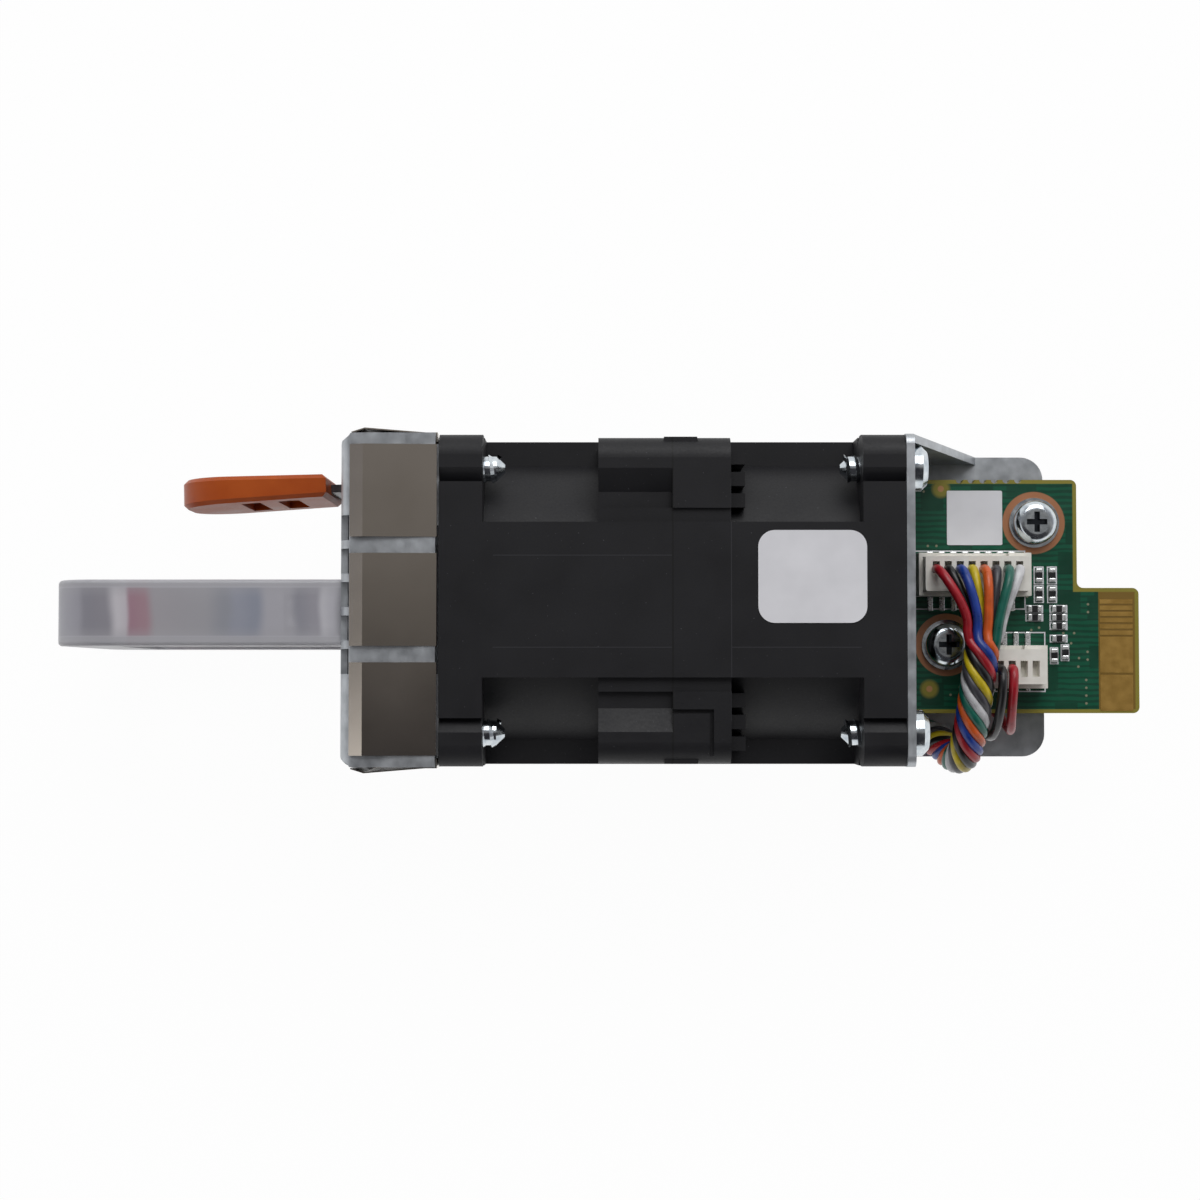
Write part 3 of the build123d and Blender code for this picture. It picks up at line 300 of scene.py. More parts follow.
# solder mask, cured over copper on laminate: deep glossy green, paler over the pours, darker between
# the tracks, with bare copper rings, dull vias and yellowish laminate along the rim
board = {
    "mask": ["#033a28", "#064832"],
    "pour": ("#08583e", (0.36, 0.40), 0.8),     # colour, where it begins and is full, its share
    "pourSize": 3.846,      # mm
    "shade": ("#042f21", (0.30, 0.34), 0.6),
    "trackPitch": 0.748,    # mm
    "laminate": "#8d8436",
    "copper": "#a87250",
    "pad": "#bb8a5c",
    "via": "#8d8a72",
    "goldBase": "#7d6227",
    "rim": 0.55,            # mm
    "step": (24.5, 2.2),    # mm from the inlet face and the axis, the corner where the tongue begins
    "goldStart": 27.2,      # mm from the inlet face
    "ringRadius": 4.05,
    "rings": [(19.0, 10.55), (7.7, -5.1)],
    "dotRadius": 0.45,
    "haloRadius": 1.35,
    "haloSoft": 0.5,
    "edgeSoft": 0.1,        # mm over which a patch or the rim ends
    "goldSoft": 0.05,
    "dots": [(7.1, 14.95), (5.5, -10.75)],
    "viaRadius": 0.2,
    "vias": [(25.9, 0.1), (25.9, -0.9), (19.6, -2.9), (18.6, -3.2), (22.7, -3.6), (24.1, -3.6),
             (23.7, -4.9), (24.7, -6.8), (25.8, -6.0), (25.8, -7.0), (24.6, -7.9), (25.6, -9.6),
             (25.6, -10.6), (25.6, -11.6), (25.6, -12.6), (8.2, -11.5), (9.4, -10.5), (18.1, 1.1),
             (5.4, 7.6), (6.5, 7.6), (4.9, 14.6)],
}


# a round patch of another colour, with a soft edge
def addPatch(mat, flat, below, centre, radius, code, soft=board["edgeSoft"]):
    middle = rear(centre[0], centre[1], 0)
    away = addNode(mat, "ShaderNodeVectorMath", {1: (middle[0], middle[1], 0)}, {0: flat},
                   operation="DISTANCE")
    inside = addNode(mat, "ShaderNodeMapRange",
                     {"From Min": (radius - soft) * mm, "From Max": radius * mm, "To Min": 1, "To Max": 0},
                     {"Value": away.outputs["Value"]})
    painted = addNode(mat, "ShaderNodeMix", {"B": toLinear(code)},
                      {"Factor": inside.outputs["Result"], "A": below}, data_type="RGBA")
    return painted.outputs["Result"]


# how far a point of the board lies inside its outline, in metres
def rimDistance(mat, x, y):
    low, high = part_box("circuit_board")
    step = rear(*board["step"], 0)
    sides = []
    for endX, endY in ((step[0], high[1]), (high[0], step[1])):
        toEnd = addNode(mat, "ShaderNodeMath", {0: endX}, {1: x}, operation="SUBTRACT")
        toSide = addNode(mat, "ShaderNodeMath", {0: endY}, {1: y}, operation="SUBTRACT")
        sides.append(addNode(mat, "ShaderNodeMath", links={0: toEnd.outputs[0], 1: toSide.outputs[0]},
                             operation="MINIMUM"))
    either = addNode(mat, "ShaderNodeMath", links={0: sides[0].outputs[0], 1: sides[1].outputs[0]},
                     operation="MAXIMUM")
    fromLow = addNode(mat, "ShaderNodeMath", {1: low[1]}, {0: y}, operation="SUBTRACT")
    nearest = addNode(mat, "ShaderNodeMath", links={0: either.outputs[0], 1: fromLow.outputs[0]},
                      operation="MINIMUM")
    return nearest.outputs[0]


def solderMask():
    mat, bsdf, coords, colour = finish("solderMaskOnLaminate", board["mask"], 4.0, (0.28, 0.42), 0.8, 0.1,
                                       Specular_IOR_Level=0.4)
    parts = addNode(mat, "ShaderNodeSeparateXYZ", links={"Vector": coords})
    x, y = parts.outputs["X"], parts.outputs["Y"]
    flat = addNode(mat, "ShaderNodeCombineXYZ", links={"X": x, "Y": y}).outputs["Vector"]
    pours = addNode(mat, "ShaderNodeTexVoronoi", {"Scale": 1 / (board["pourSize"] * mm), "Randomness": 0.9},
                    {"Vector": flat}, distance="CHEBYCHEV")
    code, limits, share = board["pour"]
    colour = addZone(mat, pours.outputs["Distance"], colour, limits, code, share)
    pitch = board["trackPitch"] * mm        # a wave repeats every tenth of pi over its scale
    tracks = addNode(mat, "ShaderNodeTexWave",
                     {"Scale": math.pi / 10 / pitch, "Distortion": 1.2, "Detail": 0}, {"Vector": flat},
                     bands_direction="Y")
    between = addNode(mat, "ShaderNodeMath",
                      links={0: tracks.outputs["Fac"], 1: pours.outputs["Distance"]}, operation="MULTIPLY")
    code, limits, share = board["shade"]
    colour = addZone(mat, between.outputs[0], colour, limits, code, share)
    for centre in board["vias"]:
        colour = addPatch(mat, flat, colour, centre, board["viaRadius"], board["via"])
    for centre in board["rings"]:
        colour = addPatch(mat, flat, colour, centre, board["ringRadius"], board["copper"])
    for centre in board["dots"]:
        colour = addPatch(mat, flat, colour, centre, board["haloRadius"], board["laminate"],
                          board["haloSoft"])
        colour = addPatch(mat, flat, colour, centre, board["dotRadius"], board["pad"])
    goldX = rear(board["goldStart"], 0, 0)[0]
    colour = addZone(mat, x, colour, (goldX, goldX + board["goldSoft"] * mm), board["goldBase"])
    inside = rimDistance(mat, x, y)
    outside = addNode(mat, "ShaderNodeMath", {0: 0}, {1: inside}, operation="SUBTRACT")
    rim = (-board["rim"] * mm, (board["edgeSoft"] - board["rim"]) * mm)
    colour = addZone(mat, outside.outputs[0], colour, rim, board["laminate"])
    mat.node_tree.links.new(colour, bsdf.inputs["Base Color"])
    return mat


# steel with a thin clear zinc coat: bright, bluish and a little wavy, with painted shade down in the
# driver's cross
screwLook = {
    "zinc": ["#b3bcc4", "#dde3e6"],
    "paintedRecessShade": "#3c4046",
    "floor": 1.9,           # mm above the board, just over the bottom of a board screw's cross; the painted shade lies below it
    "floorFade": 0.3,
    "radius": 1.5,
    "spots": [(19.0, 10.55), (7.7, -5.1)],
}


def passivatedZinc():
    mat, bsdf, coords, tone = finish("bluePassivatedZinc", screwLook["zinc"], 0.9, (0.1, 0.22), 0.9, 0.7,
                                     Metallic=1.0)
    parts = addNode(mat, "ShaderNodeSeparateXYZ", links={"Vector": coords})
    flat = addNode(mat, "ShaderNodeCombineXYZ", links={"X": parts.outputs["X"], "Y": parts.outputs["Y"]})
    # painted shade: the dark recess tone, in a patch round each board screw, used only below the floor
    # height
    dark = tone
    for centre in screwLook["spots"]:
        dark = addPatch(mat, flat.outputs["Vector"], dark, centre, screwLook["radius"], screwLook["paintedRecessShade"])
    floor = boardTop + screwLook["floor"] * mm
    low = addNode(mat, "ShaderNodeMapRange",
                  {"From Min": floor - screwLook["floorFade"] * mm, "From Max": floor,
                   "To Min": 1, "To Max": 0}, {"Value": parts.outputs["Z"]})
    mixed = addNode(mat, "ShaderNodeMix", links={"Factor": low.outputs["Result"], "A": tone, "B": dark},
                    data_type="RGBA")
    mat.node_tree.links.new(mixed.outputs["Result"], bsdf.inputs["Base Color"])
    return mat


# each finish: its name, two tones, the clouds' size in mm, the roughness from and to, the grain's
# size in mm, its bump, and how far the grain is drawn out along x, y and z
materials = {
    "frame_plastic": framePbt(),
    "impeller_plastic": mouldedPbt("mouldedImpellerPbt", mouldings["impeller"])[0],
    "clear_handle": frostedPolycarbonate(),
    "board_mask": solderMask(),
    "screw_zinc": passivatedZinc(),
    # zinc-plated sheet steel, rolled: cool light grey, dull, with faint clouds
    "zinc_sheet": finish("zincPlatedSheetSteel", ["#9ea2a6", "#bcc0c4"], 2.0, (0.34, 0.5), 0.2, 0.15,
                         (1, 8, 1), Metallic=0.9)[0],
    # stainless spring strip, hard rolled: smooth, warm and nearly a mirror
    "spring_steel": finish("hardRolledStainlessStrip", ["#b3aba1", "#bdb5ab"], 9.0, (0.13, 0.17), 0.15,
                           0.02, Metallic=1.0)[0],
    # spring steel, hardened and oiled: dark grey with a soft shine
    "lever_steel": finish("oiledSpringSteel", ["#4b4a4c", "#6f6e70"], 1.6, (0.3, 0.45), 0.2, 0.1,
                          Metallic=1.0)[0],
    # nylon, moulded in burnt orange: even and satin
    "orange_nylon": finish("mouldedOrangeNylon", ["#a04106", "#b04e0a"], 5.0, (0.36, 0.5), 0.25, 0.2,
                           Specular_IOR_Level=0.3)[0],
    # film, printed red and laid in the grip: even, with a slight gloss
    "red_tag": finish("printedRedFilm", ["#b01218", "#c21c20"], 3.0, (0.3, 0.4))[0],
    # bearing steel, ground: clean, bright and close to a mirror
    "bearing_steel": finish("groundBearingSteel", ["#9a9ca0", "#b9bbbe"], 1.0, (0.15, 0.25),
                            Metallic=1.0)[0],
    # the motors' own boards under plain mask: mid green and glossy
    "driver_board": finish("driverSolderMask", ["#0d4a30", "#155c3c"], 1.5, (0.3, 0.4))[0],
    # electrical steel, stamped and deep drawn: mid grey, half matt
    "motor_steel": finish("stampedMotorSteel", ["#55565a", "#707276"], 1.2, (0.3, 0.45), Metallic=1.0)[0],
    # copper wire under enamel: red-brown, shiny, streaked turn by turn
    "copper_coil": finish("enamelledCopperWire", ["#8a3d1c", "#b0592b"], 0.4, (0.25, 0.4), Metallic=0.8)[0],
    # ferrite in a plastic binder, pressed: almost black and matt
    "magnet": finish("bondedFerrite", ["#2c2c2f", "#3a3a3d"], 0.6, (0.5, 0.6))[0],
    # rubber, moulded: black and dull
    "grommet_rubber": finish("mouldedRubber", ["#161617", "#222223"], 0.8, (0.6, 0.75))[0],
    # hard gold over nickel: yellow metal, a little hazy
    "contact_gold": finish("hardGoldPlate", ["#b08a44", "#c29b52"], 1.2, (0.3, 0.42), 0.1, 0.08,
                           Metallic=0.7)[0],
    # nylon, moulded without dye: warm white and satin
    "connector_nylon": finish("mouldedNaturalNylon", ["#e4e1d8", "#efede5"], 1.5, (0.4, 0.5))[0],
    # resistor glaze, fired: black with a small gloss
    "resistor_ceramic": finish("firedResistorGlaze", ["#111113", "#1d1d20"], 0.5, (0.3, 0.4))[0],
    # tin on brass: pale silver, soft shine
    "tinned_legs": finish("tinPlatedBrass", ["#cfd1d1", "#e6e7e7"], 0.4, (0.22, 0.34), Metallic=0.7)[0],
    # polyester film with a satin coat: cool white, almost flat
    "label_paper": finish("satinLabelFilm", ["#dcdce0", "#e6e6ea"], 5.0, (0.42, 0.5), 0.4, 0.04)[0],
}
# PVC, extruded on the wires: soft, evenly dyed, with a low gloss
wireColours = {
    "red": "#b01c2a", "black": "#161618", "blue": "#1b3f9c", "yellow": "#dcc322",
    "orange": "#df6020", "grey": "#47464c", "green": "#0d6656", "white": "#dcdcde",
}
wireShade = 0.82            # the darker tone of each wire's clouds, as a share of its colour
for colour, code in wireColours.items():
    pale = [int(code[i:i + 2], 16) for i in (1, 3, 5)]
    dark = "#" + "".join(f"{round(channel * wireShade):02x}" for channel in pale)
    title = "extrudedPvc" + colour.capitalize()
    materials["wire_" + colour] = finish(title, [dark, code], 1.5, (0.26, 0.4), 0.5, 0.06)[0]
materials["wire_bundle"] = materials["wire_grey"]
slotOf = {entry["node"]: entry["material_slot"] for entry in frame["record"]["subparts"]}
for name, node in frame["nodes"].items():
    node.data.materials.clear()
    node.data.materials.append(materials[slotOf[name]])
print("materials on", len(slotOf), "nodes")


# the routes of part.py, in metres: x from the inlet face, y of the hanging points from the bundle's exit
exitY = fanSide + 0.0034
bundleHang = [
    (0.0112, 0.0134, 0.0084),
    (0.0108, 0.0094, 0.0080),
    (0.0103, 0.0050, 0.0072),
    (0.0099, 0.0008, 0.0056),
    (0.0096, -0.0027, 0.0024),
    (0.0090, -0.0029, -0.0019),
    (0.0076, -0.0008, -0.0052),
    (0.0050, 0.0000, -0.0059),
    (0.0024, 0.0000, -0.0059),
]
blackStart = [(0.0136, -0.0082, 0.0060), (0.0136, -0.0082, 0.0080)]
blackHang = [
    (0.0134, 0.0054, 0.0086),
    (0.0132, 0.0018, 0.0067),
    (0.0131, -0.0003, 0.0030),
    (0.0130, -0.0001, -0.0012),
    (0.0122, 0.0023, -0.0039),
    (0.0096, 0.0039, -0.0046),
    (0.0060, 0.0037, -0.0046),
    (0.0024, 0.0037, -0.0046),
]
redStart = [(0.0151, -0.0082, 0.0060), (0.0151, -0.0082, 0.0074)]
redHang = [
    (0.0149, 0.0056, 0.0077),
    (0.0150, 0.0024, 0.0056),
    (0.0156, 0.0004, 0.0022),
    (0.0160, 0.0008, -0.0018),
    (0.0150, 0.0029, -0.0049),
    (0.0116, 0.0045, -0.0063),
    (0.0066, 0.0037, -0.0066),
    (0.0024, 0.0037, -0.0066),
]
wires = {
    "diameter": 1.2,        # mm, as every size here but the last
    "order": ["red", "black", "blue", "yellow", "orange", "grey", "green", "white"],
    "firstX": 5.63,         # from the inlet face, the first way of the large plug
    "pitch": 1.5,
    "exitY": 4.35,          # the plug's face, from the fan axis
    "exitZ": 6.0,
    "rise": 1.6,            # how far a wire stands up from the plug
    "step": 1.4,            # how much higher every second wire starts
    "straight": 1.6,        # the run in line with the bundle, just before it
    "spacing": 0.63,        # side by side where they meet it, in two rows this far apart
    "rows": 1.2,
    "twistRadius": 1.6,     # the circle that the eight wires turn on
    "twistLength": 11.5,    # bundle for one turn
    "gather": 3.0,          # the length over which the wires take up the twist
    "firstAngle": 157.5,    # degrees, the first pair's place on the circle, and the next pair's from it
    "nextAngle": 45,
    "sample": 0.25,
    "curveSteps": 16,
    "roundness": 5,
    "shortest": 0.0301,     # metres, the least length of a cord
}


def onRoute(points, y):
    return [Vector((inletX + px, py + y, axisZ + pz)) for px, py, pz in points]


# the points of a route's own smooth line
def readSpline(points):
    curve = bpy.data.curves.new("route", "CURVE")
    curve.dimensions = "3D"
    curve.resolution_u = wires["curveSteps"]
    line = curve.splines.new("NURBS")
    line.points.add(len(points) - 1)
    for target, point in zip(line.points, points):
        target.co = (*point, 1)
    line.order_u = 3
    line.use_endpoint_u = True
    holder = bpy.data.objects.new("route", curve)
    mesh = bpy.data.meshes.new_from_object(holder)
    found = [vertex.co.copy() for vertex in mesh.vertices]
    bpy.data.objects.remove(holder)
    return found


# the same line with its points one sample apart
def evenly(points):
    lengths = [0.0]
    for a, b in zip(points, points[1:]):
        lengths.append(lengths[-1] + (b - a).length)
    count = max(2, round(lengths[-1] / (wires["sample"] * mm)))
    found = []
    index = 0
    for number in range(count + 1):
        wanted = lengths[-1] * number / count
        while index < len(points) - 2 and lengths[index + 1] < wanted:
            index += 1
        share = (wanted - lengths[index]) / max(lengths[index + 1] - lengths[index], 1e-12)
        found.append(points[index].lerp(points[index + 1], min(max(share, 0), 1)))
    return found


# the bundle's middle line, with the directions across and up at each point
def bundleSections():
    line = evenly(readSpline(onRoute(bundleHang, exitY)))
    across = Vector((1, 0, 0))
    sections = []
    for index, point in enumerate(line):
        onward = (line[min(index + 1, len(line) - 1)] - line[max(index - 1, 0)]).normalized()
        across = (across - onward * across.dot(onward)).normalized()
        sections.append((point, across.copy(), onward.cross(across)))
    return sections


# a wire's own path: out of the plug, into the bundle, and round the others to the end
def twistedWire(index, sections):
    first, across, up = sections[0]
    onward = (sections[1][0] - first).normalized()
    upper = index % 2 == 0
    side = wires["spacing"] * mm * (index - (len(wires["order"]) - 1) / 2)
    height = wires["rows"] / 2 * mm * (1 if upper else -1)
    x = wires["firstX"] + wires["pitch"] * index
    rise = wires["rise"] + (wires["step"] if upper else 0)
    meet = first + across * side + up * height
    lead = [rear(x, wires["exitY"], wires["exitZ"]), rear(x, wires["exitY"], wires["exitZ"] + rise),
            meet - onward * wires["straight"] * mm, meet]
    path = evenly(readSpline(lead))[:-1]
    turn = math.radians(wires["firstAngle"] - wires["nextAngle"] * (index // 2)) * (1 if upper else -1)
    radius = wires["twistRadius"] * mm
    for number, (middle, across, up) in enumerate(sections):
        along = number * wires["sample"]
        share = min(along / wires["gather"], 1)
        share = share * share * (3 - 2 * share)
        angle = turn - 2 * math.pi * max(along - wires["gather"] / 2, 0) / wires["twistLength"]
        outX = side * (1 - share) + radius * math.cos(angle) * share
        outY = height * (1 - share) + radius * math.sin(angle) * share
        path.append(middle + across * outX + up * outY)
    return path


def addWire(path, colour, name, nodes):
    curve = bpy.data.curves.new(name, "CURVE")
    curve.dimensions = "3D"
    curve.bevel_depth = wires["diameter"] / 2 * mm
    curve.bevel_resolution = wires["roundness"]
    curve.use_fill_caps = True
    line = curve.splines.new("POLY")
    line.points.add(len(path) - 1)
    for target, point in zip(line.points, path):
        target.co = (*point, 1)
    holder = bpy.data.objects.new("holder", curve)
    tube = bpy.data.objects.new(name, bpy.data.meshes.new_from_object(holder))
    bpy.data.objects.remove(holder)
    bpy.context.collection.objects.link(tube)
    tube.data.shade_smooth()
    tube.data.materials.append(materials["wire_" + colour])
    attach(tube, "module")
    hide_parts(*nodes)


sections = bundleSections()
for index, colour in enumerate(wires["order"]):
    nodes = ["lead_" + colour] + (["wire_bundle"] if index == 0 else [])
    addWire(twistedWire(index, sections), colour, "wire-" + colour, nodes)
for colour, start, hang in (("black", blackStart, blackHang), ("red", redStart, redHang)):
    path = evenly(readSpline(onRoute(start, 0) + onRoute(hang, exitY)))
    addWire(path, colour, "powerWire-" + colour, ["power_lead_" + colour])
print("wires laid")


# new pieces are shaped in edit mode, so that each object stays at the origin
def finishPiece(name, slot):
    piece = bpy.context.object
    piece.name = name
    piece.data.materials.append(materials[slot])
    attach(piece, "module")
    return piece


# the band that ties each strip's fingers is cut out of the gaps, where only the bezel's steel shows
fingers = {
    "across": 6.525,        # mm from the fan axis to the middle of each gap
    "gap": 1.95,            # the gap's width, and the cutter's length and depth
    "long": 4.0,
    "deep": 3.0,
    "start": -1.4,          # mm from the outlet face, the cutter's middle
    "out": 20.2,            # mm from the fan axis
    "sides": {"top": (0, 1), "latch_side": (1, 0), "bottom": (0, -1), "far_side": (-1, 0)},
}


def trimStrip(side, outY, outZ):
    node = frame["nodes"]["spring_fingers_" + side]
    strip = bpy.data.objects.new("springFingers-" + side, node.data.copy())
    bpy.context.collection.objects.link(strip)
    for way in (-1, 1):
        bpy.ops.object.select_all(action="DESELECT")
        bpy.ops.mesh.primitive_cube_add(size=1)
        cutter = bpy.context.object
        width = [fingers["deep"] if out else fingers["gap"] for out in (outY, outZ)]
        bpy.ops.object.mode_set(mode="EDIT")
        bpy.ops.transform.resize(value=(fingers["long"] * mm, width[0] * mm, width[1] * mm),
                                 center_override=(0, 0, 0))
        place = [fingers["out"] * out + fingers["across"] * way * (1 - abs(out)) for out in (outY, outZ)]
        bpy.ops.transform.translate(value=spot(fingers["start"], *place))
        bpy.ops.object.mode_set(mode="OBJECT")
        bpy.ops.object.select_all(action="DESELECT")
        strip.select_set(True)
        bpy.context.view_layer.objects.active = strip
        bpy.ops.object.mode_set(mode="EDIT")
        bpy.ops.mesh.select_all(action="SELECT")
        bpy.ops.mesh.remove_doubles(threshold=0.001 * mm)
        bpy.ops.object.mode_set(mode="OBJECT")
        cut = strip.modifiers.new("gap", "BOOLEAN")
        cut.operation = "DIFFERENCE"
        cut.object = cutter
        bpy.ops.object.modifier_apply(modifier="gap")
        bpy.data.objects.remove(cutter)
    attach(strip, "module")
    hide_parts("spring_fingers_" + side)


for side, out in fingers["sides"].items():
    trimStrip(side, *out)
print("spring fingers trimmed")


# rolled thread on the screw tips that show past the flanges
thread = {
    "core": 1.45,           # mm, the radius that the ridge stands on
    "depth": 0.36,
    "pitch": 1.15,
    "turns": 2,
    "steps": 24,            # faces in one turn
    "corner": 16.0,         # mm from the fan axis to each screw
    "frontStart": 4.75,     # mm from the outlet face
    "rearStart": 48.95,
}


def addThread(name, start, y, z):
    bpy.ops.object.select_all(action="DESELECT")
    bpy.ops.mesh.primitive_circle_add(vertices=3, radius=thread["depth"] * mm, fill_type="NGON")
    bpy.ops.object.mode_set(mode="EDIT")
    bpy.ops.mesh.select_all(action="SELECT")
    bpy.ops.transform.rotate(value=math.radians(90), orient_axis="Z", center_override=(0, 0, 0))
    bpy.ops.transform.translate(value=(0, thread["core"] * mm, 0))
    bpy.ops.object.mode_set(mode="OBJECT")
    ridge = bpy.context.object.modifiers.new("ridge", "SCREW")
    ridge.axis = "X"
    ridge.screw_offset = thread["pitch"] * mm
    ridge.iterations = thread["turns"]
    ridge.steps = thread["steps"]
    ridge.render_steps = thread["steps"]
    bpy.ops.object.modifier_apply(modifier="ridge")
    bpy.ops.object.mode_set(mode="EDIT")
    bpy.ops.mesh.select_all(action="SELECT")
    bpy.ops.mesh.normals_make_consistent(inside=False)
    bpy.ops.transform.translate(value=spot(start, y, z))
    bpy.ops.object.mode_set(mode="OBJECT")
    return finishPiece(name, "screw_zinc")


for yWay in (-1, 1):
    for zWay in (-1, 1):
        place = (thread["corner"] * yWay, thread["corner"] * zWay)
        label = ("Far", "Near")[yWay > 0] + ("Low", "High")[zWay > 0]
        addThread("frontThread" + label, thread["frontStart"], *place)
        addThread("rearThread" + label, thread["rearStart"], *place)
print("threads cut")


# white ink on the board: outlines round the headers and the resistors, as (x, y, length, width) in mm
ink = {
    "line": 0.16,           # mm
    "height": 0.02,
    "frames": [(10.6, 3.2, 14.6, 7.6), (15.9, -7.3, 9.0, 7.7),
               (19.6, 3.8, 1.3, 2.3), (21.3, 3.8, 1.3, 2.3), (19.6, 1.4, 1.3, 2.3),
               (21.3, 1.4, 1.3, 2.3), (19.0, -0.5, 2.3, 1.0), (22.1, -0.5, 2.3, 1.0),
               (19.0, -1.6, 2.3, 1.0), (22.1, -1.6, 2.3, 1.0), (22.1, -2.7, 2.3, 1.0),
               (22.1, -4.3, 2.3, 1.0), (21.5, -6.5, 1.1, 2.2), (22.9, -6.1, 1.1, 2.2)],
}


def addInk():
    bpy.ops.object.select_all(action="DESELECT")
    for index, (x, y, length, width) in enumerate(ink["frames"]):
        if index > 0:
            bpy.ops.mesh.select_all(action="DESELECT")
        bpy.ops.mesh.primitive_plane_add(size=1)
        if index == 0:
            bpy.ops.object.mode_set(mode="EDIT")
        bpy.ops.transform.resize(value=(length * mm, width * mm, 1), center_override=(0, 0, 0))
        place = rear(x, y, 0)
        bpy.ops.transform.translate(value=(place[0], place[1], boardTop))
        bpy.ops.mesh.inset(thickness=ink["line"] * mm)
        bpy.ops.mesh.delete(type="ONLY_FACE")
    bpy.ops.object.mode_set(mode="OBJECT")
    bpy.ops.object.modifier_add(type="SOLIDIFY")
    layer = bpy.context.object.modifiers[0]
    layer.thickness = ink["height"] * mm
    layer.offset = 1
    bpy.ops.object.modifier_apply(modifier=layer.name)
    finishPiece("boardInk", "label_paper")


addInk()
print("board marked")


# tinned ends of the resistors and solder along the headers' legs, in mm from the inlet face and axis
solder = {
    "alongX": [(19.0, -0.5), (22.1, -0.5), (19.0, -1.6), (22.1, -1.6), (22.1, -2.7), (22.1, -4.3)],
    "alongY": [(19.6, 3.8), (21.3, 3.8), (19.6, 1.4), (21.3, 1.4), (21.5, -6.5), (22.9, -6.1)],
    "reach": 0.62,          # mm from a resistor's middle to the middle of its end
    "end": (0.56, 0.9, 0.52),       # length, width and height
    "pitch": 1.5,
    # each row's first x, number of legs, y, and one leg's length, width and height
    "rows": [(5.63, 8, 0.15, (0.72, 1.85, 0.36)), (5.63, 8, 6.7, (0.9, 0.34, 0.3)),
             (13.6, 4, -4.35, (0.72, 1.85, 0.36)), (13.6, 4, -10.85, (0.6, 0.4, 0.4))],
    "rounding": 0.13,
}


def solderBlocks():
    length, width, height = solder["end"]
    for x, y in solder["alongX"]:
        yield x - solder["reach"], y, length, width, height
        yield x + solder["reach"], y, length, width, height
    for x, y in solder["alongY"]:
        yield x, y - solder["reach"], width, length, height
        yield x, y + solder["reach"], width, length, height
    for firstX, count, y, size in solder["rows"]:
        for index in range(count):
            yield firstX + solder["pitch"] * index, y, *size


def addSolder():
    bpy.ops.object.select_all(action="DESELECT")
    for index, (x, y, length, width, height) in enumerate(solderBlocks()):
        if index > 0:
            bpy.ops.mesh.select_all(action="DESELECT")
        bpy.ops.mesh.primitive_cube_add(size=1)
        if index == 0:
            bpy.ops.object.mode_set(mode="EDIT")
        bpy.ops.transform.resize(value=(length * mm, width * mm, height * mm), center_override=(0, 0, 0))
        place = rear(x, y, 0)
        bpy.ops.transform.translate(value=(place[0], place[1], boardTop + height / 2 * mm))
    bpy.ops.mesh.select_all(action="SELECT")
    bpy.ops.mesh.bevel(offset=solder["rounding"] * mm, segments=2, affect="EDGES")
    bpy.ops.object.mode_set(mode="OBJECT")
    finishPiece("boardSolder", "tinned_legs")


addSolder()
print("ends and legs tinned")


# floor, room and lamps: the room is pale at its walls and dim overhead, most of all on the side that
# whoever takes the picture stands on
studio = {
    "floor": "#f8f8f8",
    "room": [(0.0, "#f2f2f4"), (0.39, "#a9a8ac"), (0.62, "#aaa8a8"), (0.67, "#95928f"), (0.71, "#4c4a4d"),
             (1.0, "#38383c")],
    "roomLight": 0.75,
    "height": 0.7,          # how much the tone goes by the direction's height
    "side": -0.63,          # and by its side
    "wallTop": 0.5,         # upward part of the direction above which shiny things show the ceiling
    "wallFade": 0.2,
    "glow": 0.97,           # how much of the floor's own white the camera sees
    "floorSize": 6,         # metres, as are the next values and the lamps' places and sizes
    "floorDrop": 0.0002,
    "aim": (0, 0, 0.02),
    "lamps": [("keyLamp", (0.12, 0.5, 0.55), 0.5, 2.7), ("fillLamp", (-0.5, -0.35, 0.5), 0.6, 1.0)],
}


# 1 for rays from the camera, straight, through something clear or off something shiny
def seenShare(tree, mirrored=None):
    path = addNode(tree, "ShaderNodeLightPath")
    rays = {0: path.outputs["Is Camera Ray"], 1: path.outputs["Is Transmission Ray"]}
    straight = addNode(tree, "ShaderNodeMath", links=rays, operation="MAXIMUM")
    shiny = addNode(tree, "ShaderNodeMath", {1: 1}, {0: path.outputs["Is Glossy Ray"]},
                    operation="MULTIPLY")
    if mirrored:
        tree.node_tree.links.new(mirrored, shiny.inputs[1])
    share = addNode(tree, "ShaderNodeMath", links={0: straight.outputs[0], 1: shiny.outputs[0]},
                    operation="MAXIMUM")
    return share.outputs[0]


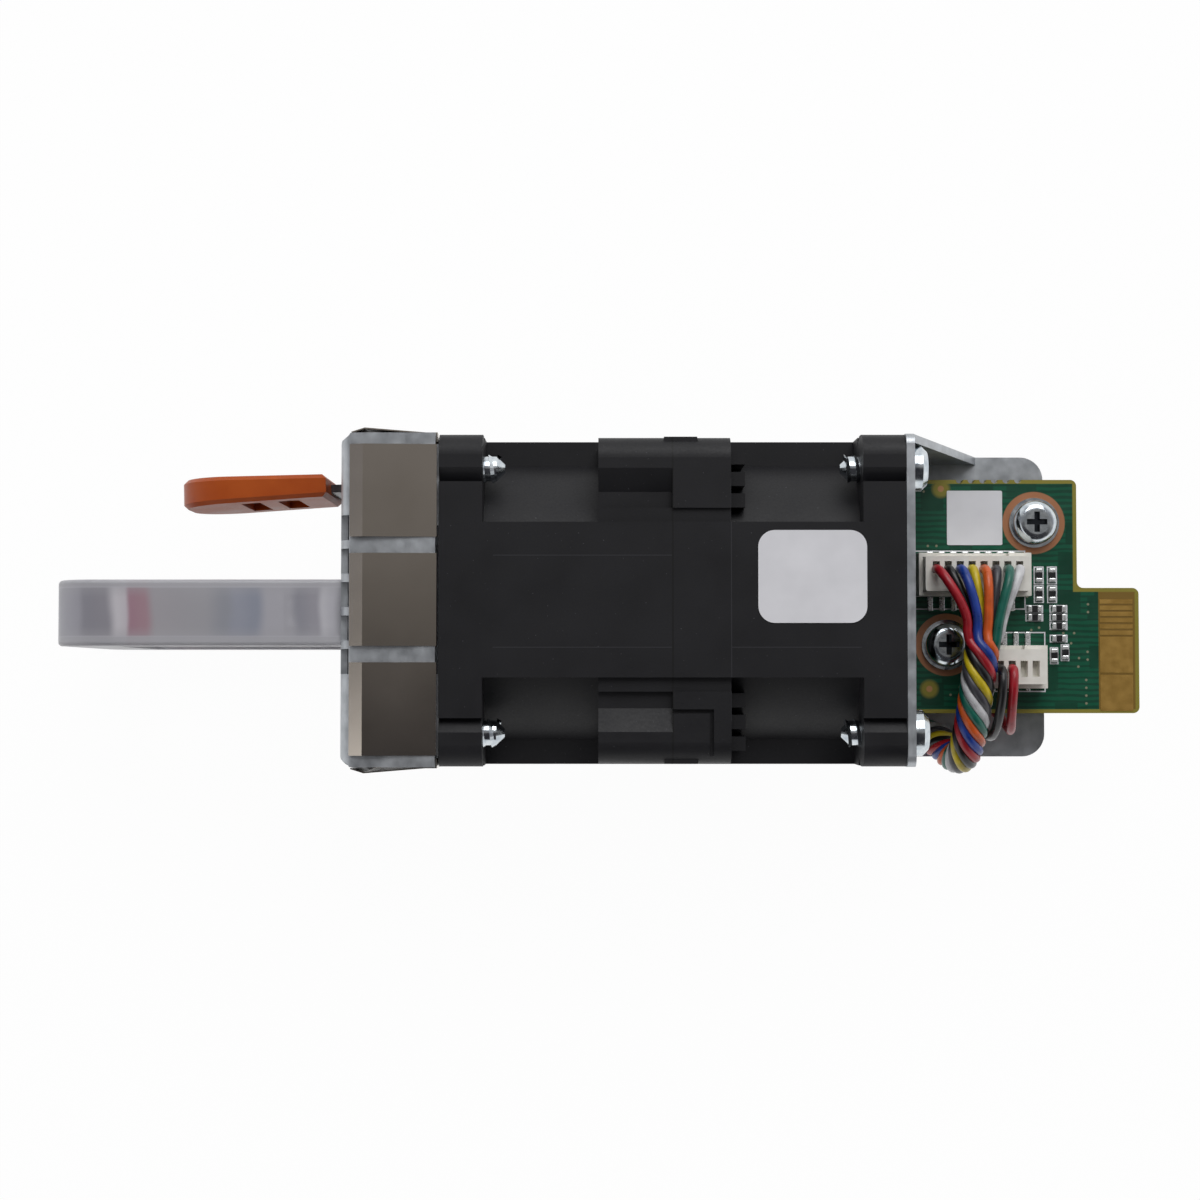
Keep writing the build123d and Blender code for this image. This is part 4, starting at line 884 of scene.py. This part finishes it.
def addFloor():
    bpy.ops.mesh.primitive_plane_add(size=studio["floorSize"],
                                     location=(0, 0, cadBounds[0][2] - studio["floorDrop"]))
    floor = bpy.context.object
    floor.name = "floor"
    mat, bsdf = finish("paintedFloor", [studio["floor"], studio["floor"]], 20.0, (0.75, 0.85))[:2]
    white = addNode(mat, "ShaderNodeEmission", {"Strength": 1.0})
    plain = addNode(mat, "ShaderNodeMixShader", {0: studio["glow"]},
                    {1: bsdf.outputs[0], 2: white.outputs[0]})
    seen = addNode(mat, "ShaderNodeMixShader",
                   links={0: seenShare(mat), 1: bsdf.outputs[0], 2: plain.outputs[0]})
    mat.node_tree.links.new(seen.outputs[0], mat.node_tree.nodes["Material Output"].inputs[0])
    floor.data.materials.append(mat)


def addRoom():
    world = bpy.data.worlds.new("paleRoom")
    world.use_nodes = True
    bpy.context.scene.world = world
    coords = addNode(world, "ShaderNodeTexCoord").outputs["Generated"]
    parts = addNode(world, "ShaderNodeSeparateXYZ", links={"Vector": coords})
    aside = addNode(world, "ShaderNodeMath", {1: studio["side"]}, {0: parts.outputs["Y"]},
                    operation="MULTIPLY")
    where = addNode(world, "ShaderNodeMath", {1: studio["height"]},
                    {0: parts.outputs["Z"], 2: aside.outputs[0]}, operation="MULTIPLY_ADD")
    shades = addNode(world, "ShaderNodeValToRGB", links={"Fac": where.outputs[0]})
    for stop, code in studio["room"][1:-1]:
        shades.color_ramp.elements.new(stop)
    for element, (stop, code) in zip(shades.color_ramp.elements, studio["room"]):
        element.position = stop
        element.color = toLinear(code)
    room = world.node_tree.nodes["Background"]
    room.inputs["Strength"].default_value = studio["roomLight"]
    world.node_tree.links.new(shades.outputs["Color"], room.inputs["Color"])
    bright = addNode(world, "ShaderNodeBackground", {"Strength": 1.0, "Color": (1, 1, 1, 1)})
    walls = addNode(world, "ShaderNodeMapRange",
                    {"From Min": studio["wallTop"], "From Max": studio["wallTop"] - studio["wallFade"]},
                    {"Value": parts.outputs["Z"]})
    seen = seenShare(world, walls.outputs["Result"])
    both = addNode(world, "ShaderNodeMixShader",
                   links={0: seen, 1: room.outputs[0], 2: bright.outputs[0]})
    world.node_tree.links.new(both.outputs[0], world.node_tree.nodes["World Output"].inputs[0])


def addLamps():
    for name, place, size, power in studio["lamps"]:
        bpy.ops.object.light_add(type="AREA", location=place)
        lamp = bpy.context.object
        lamp.name = name
        lamp.data.size = size
        lamp.data.energy = power
        away = Vector(studio["aim"]) - Vector(place)
        lamp.rotation_euler = away.to_track_quat("-Z", "Y").to_euler()


addFloor()
addRoom()
addLamps()
bpy.context.scene.view_settings.view_transform = "Standard"
print("studio ready")
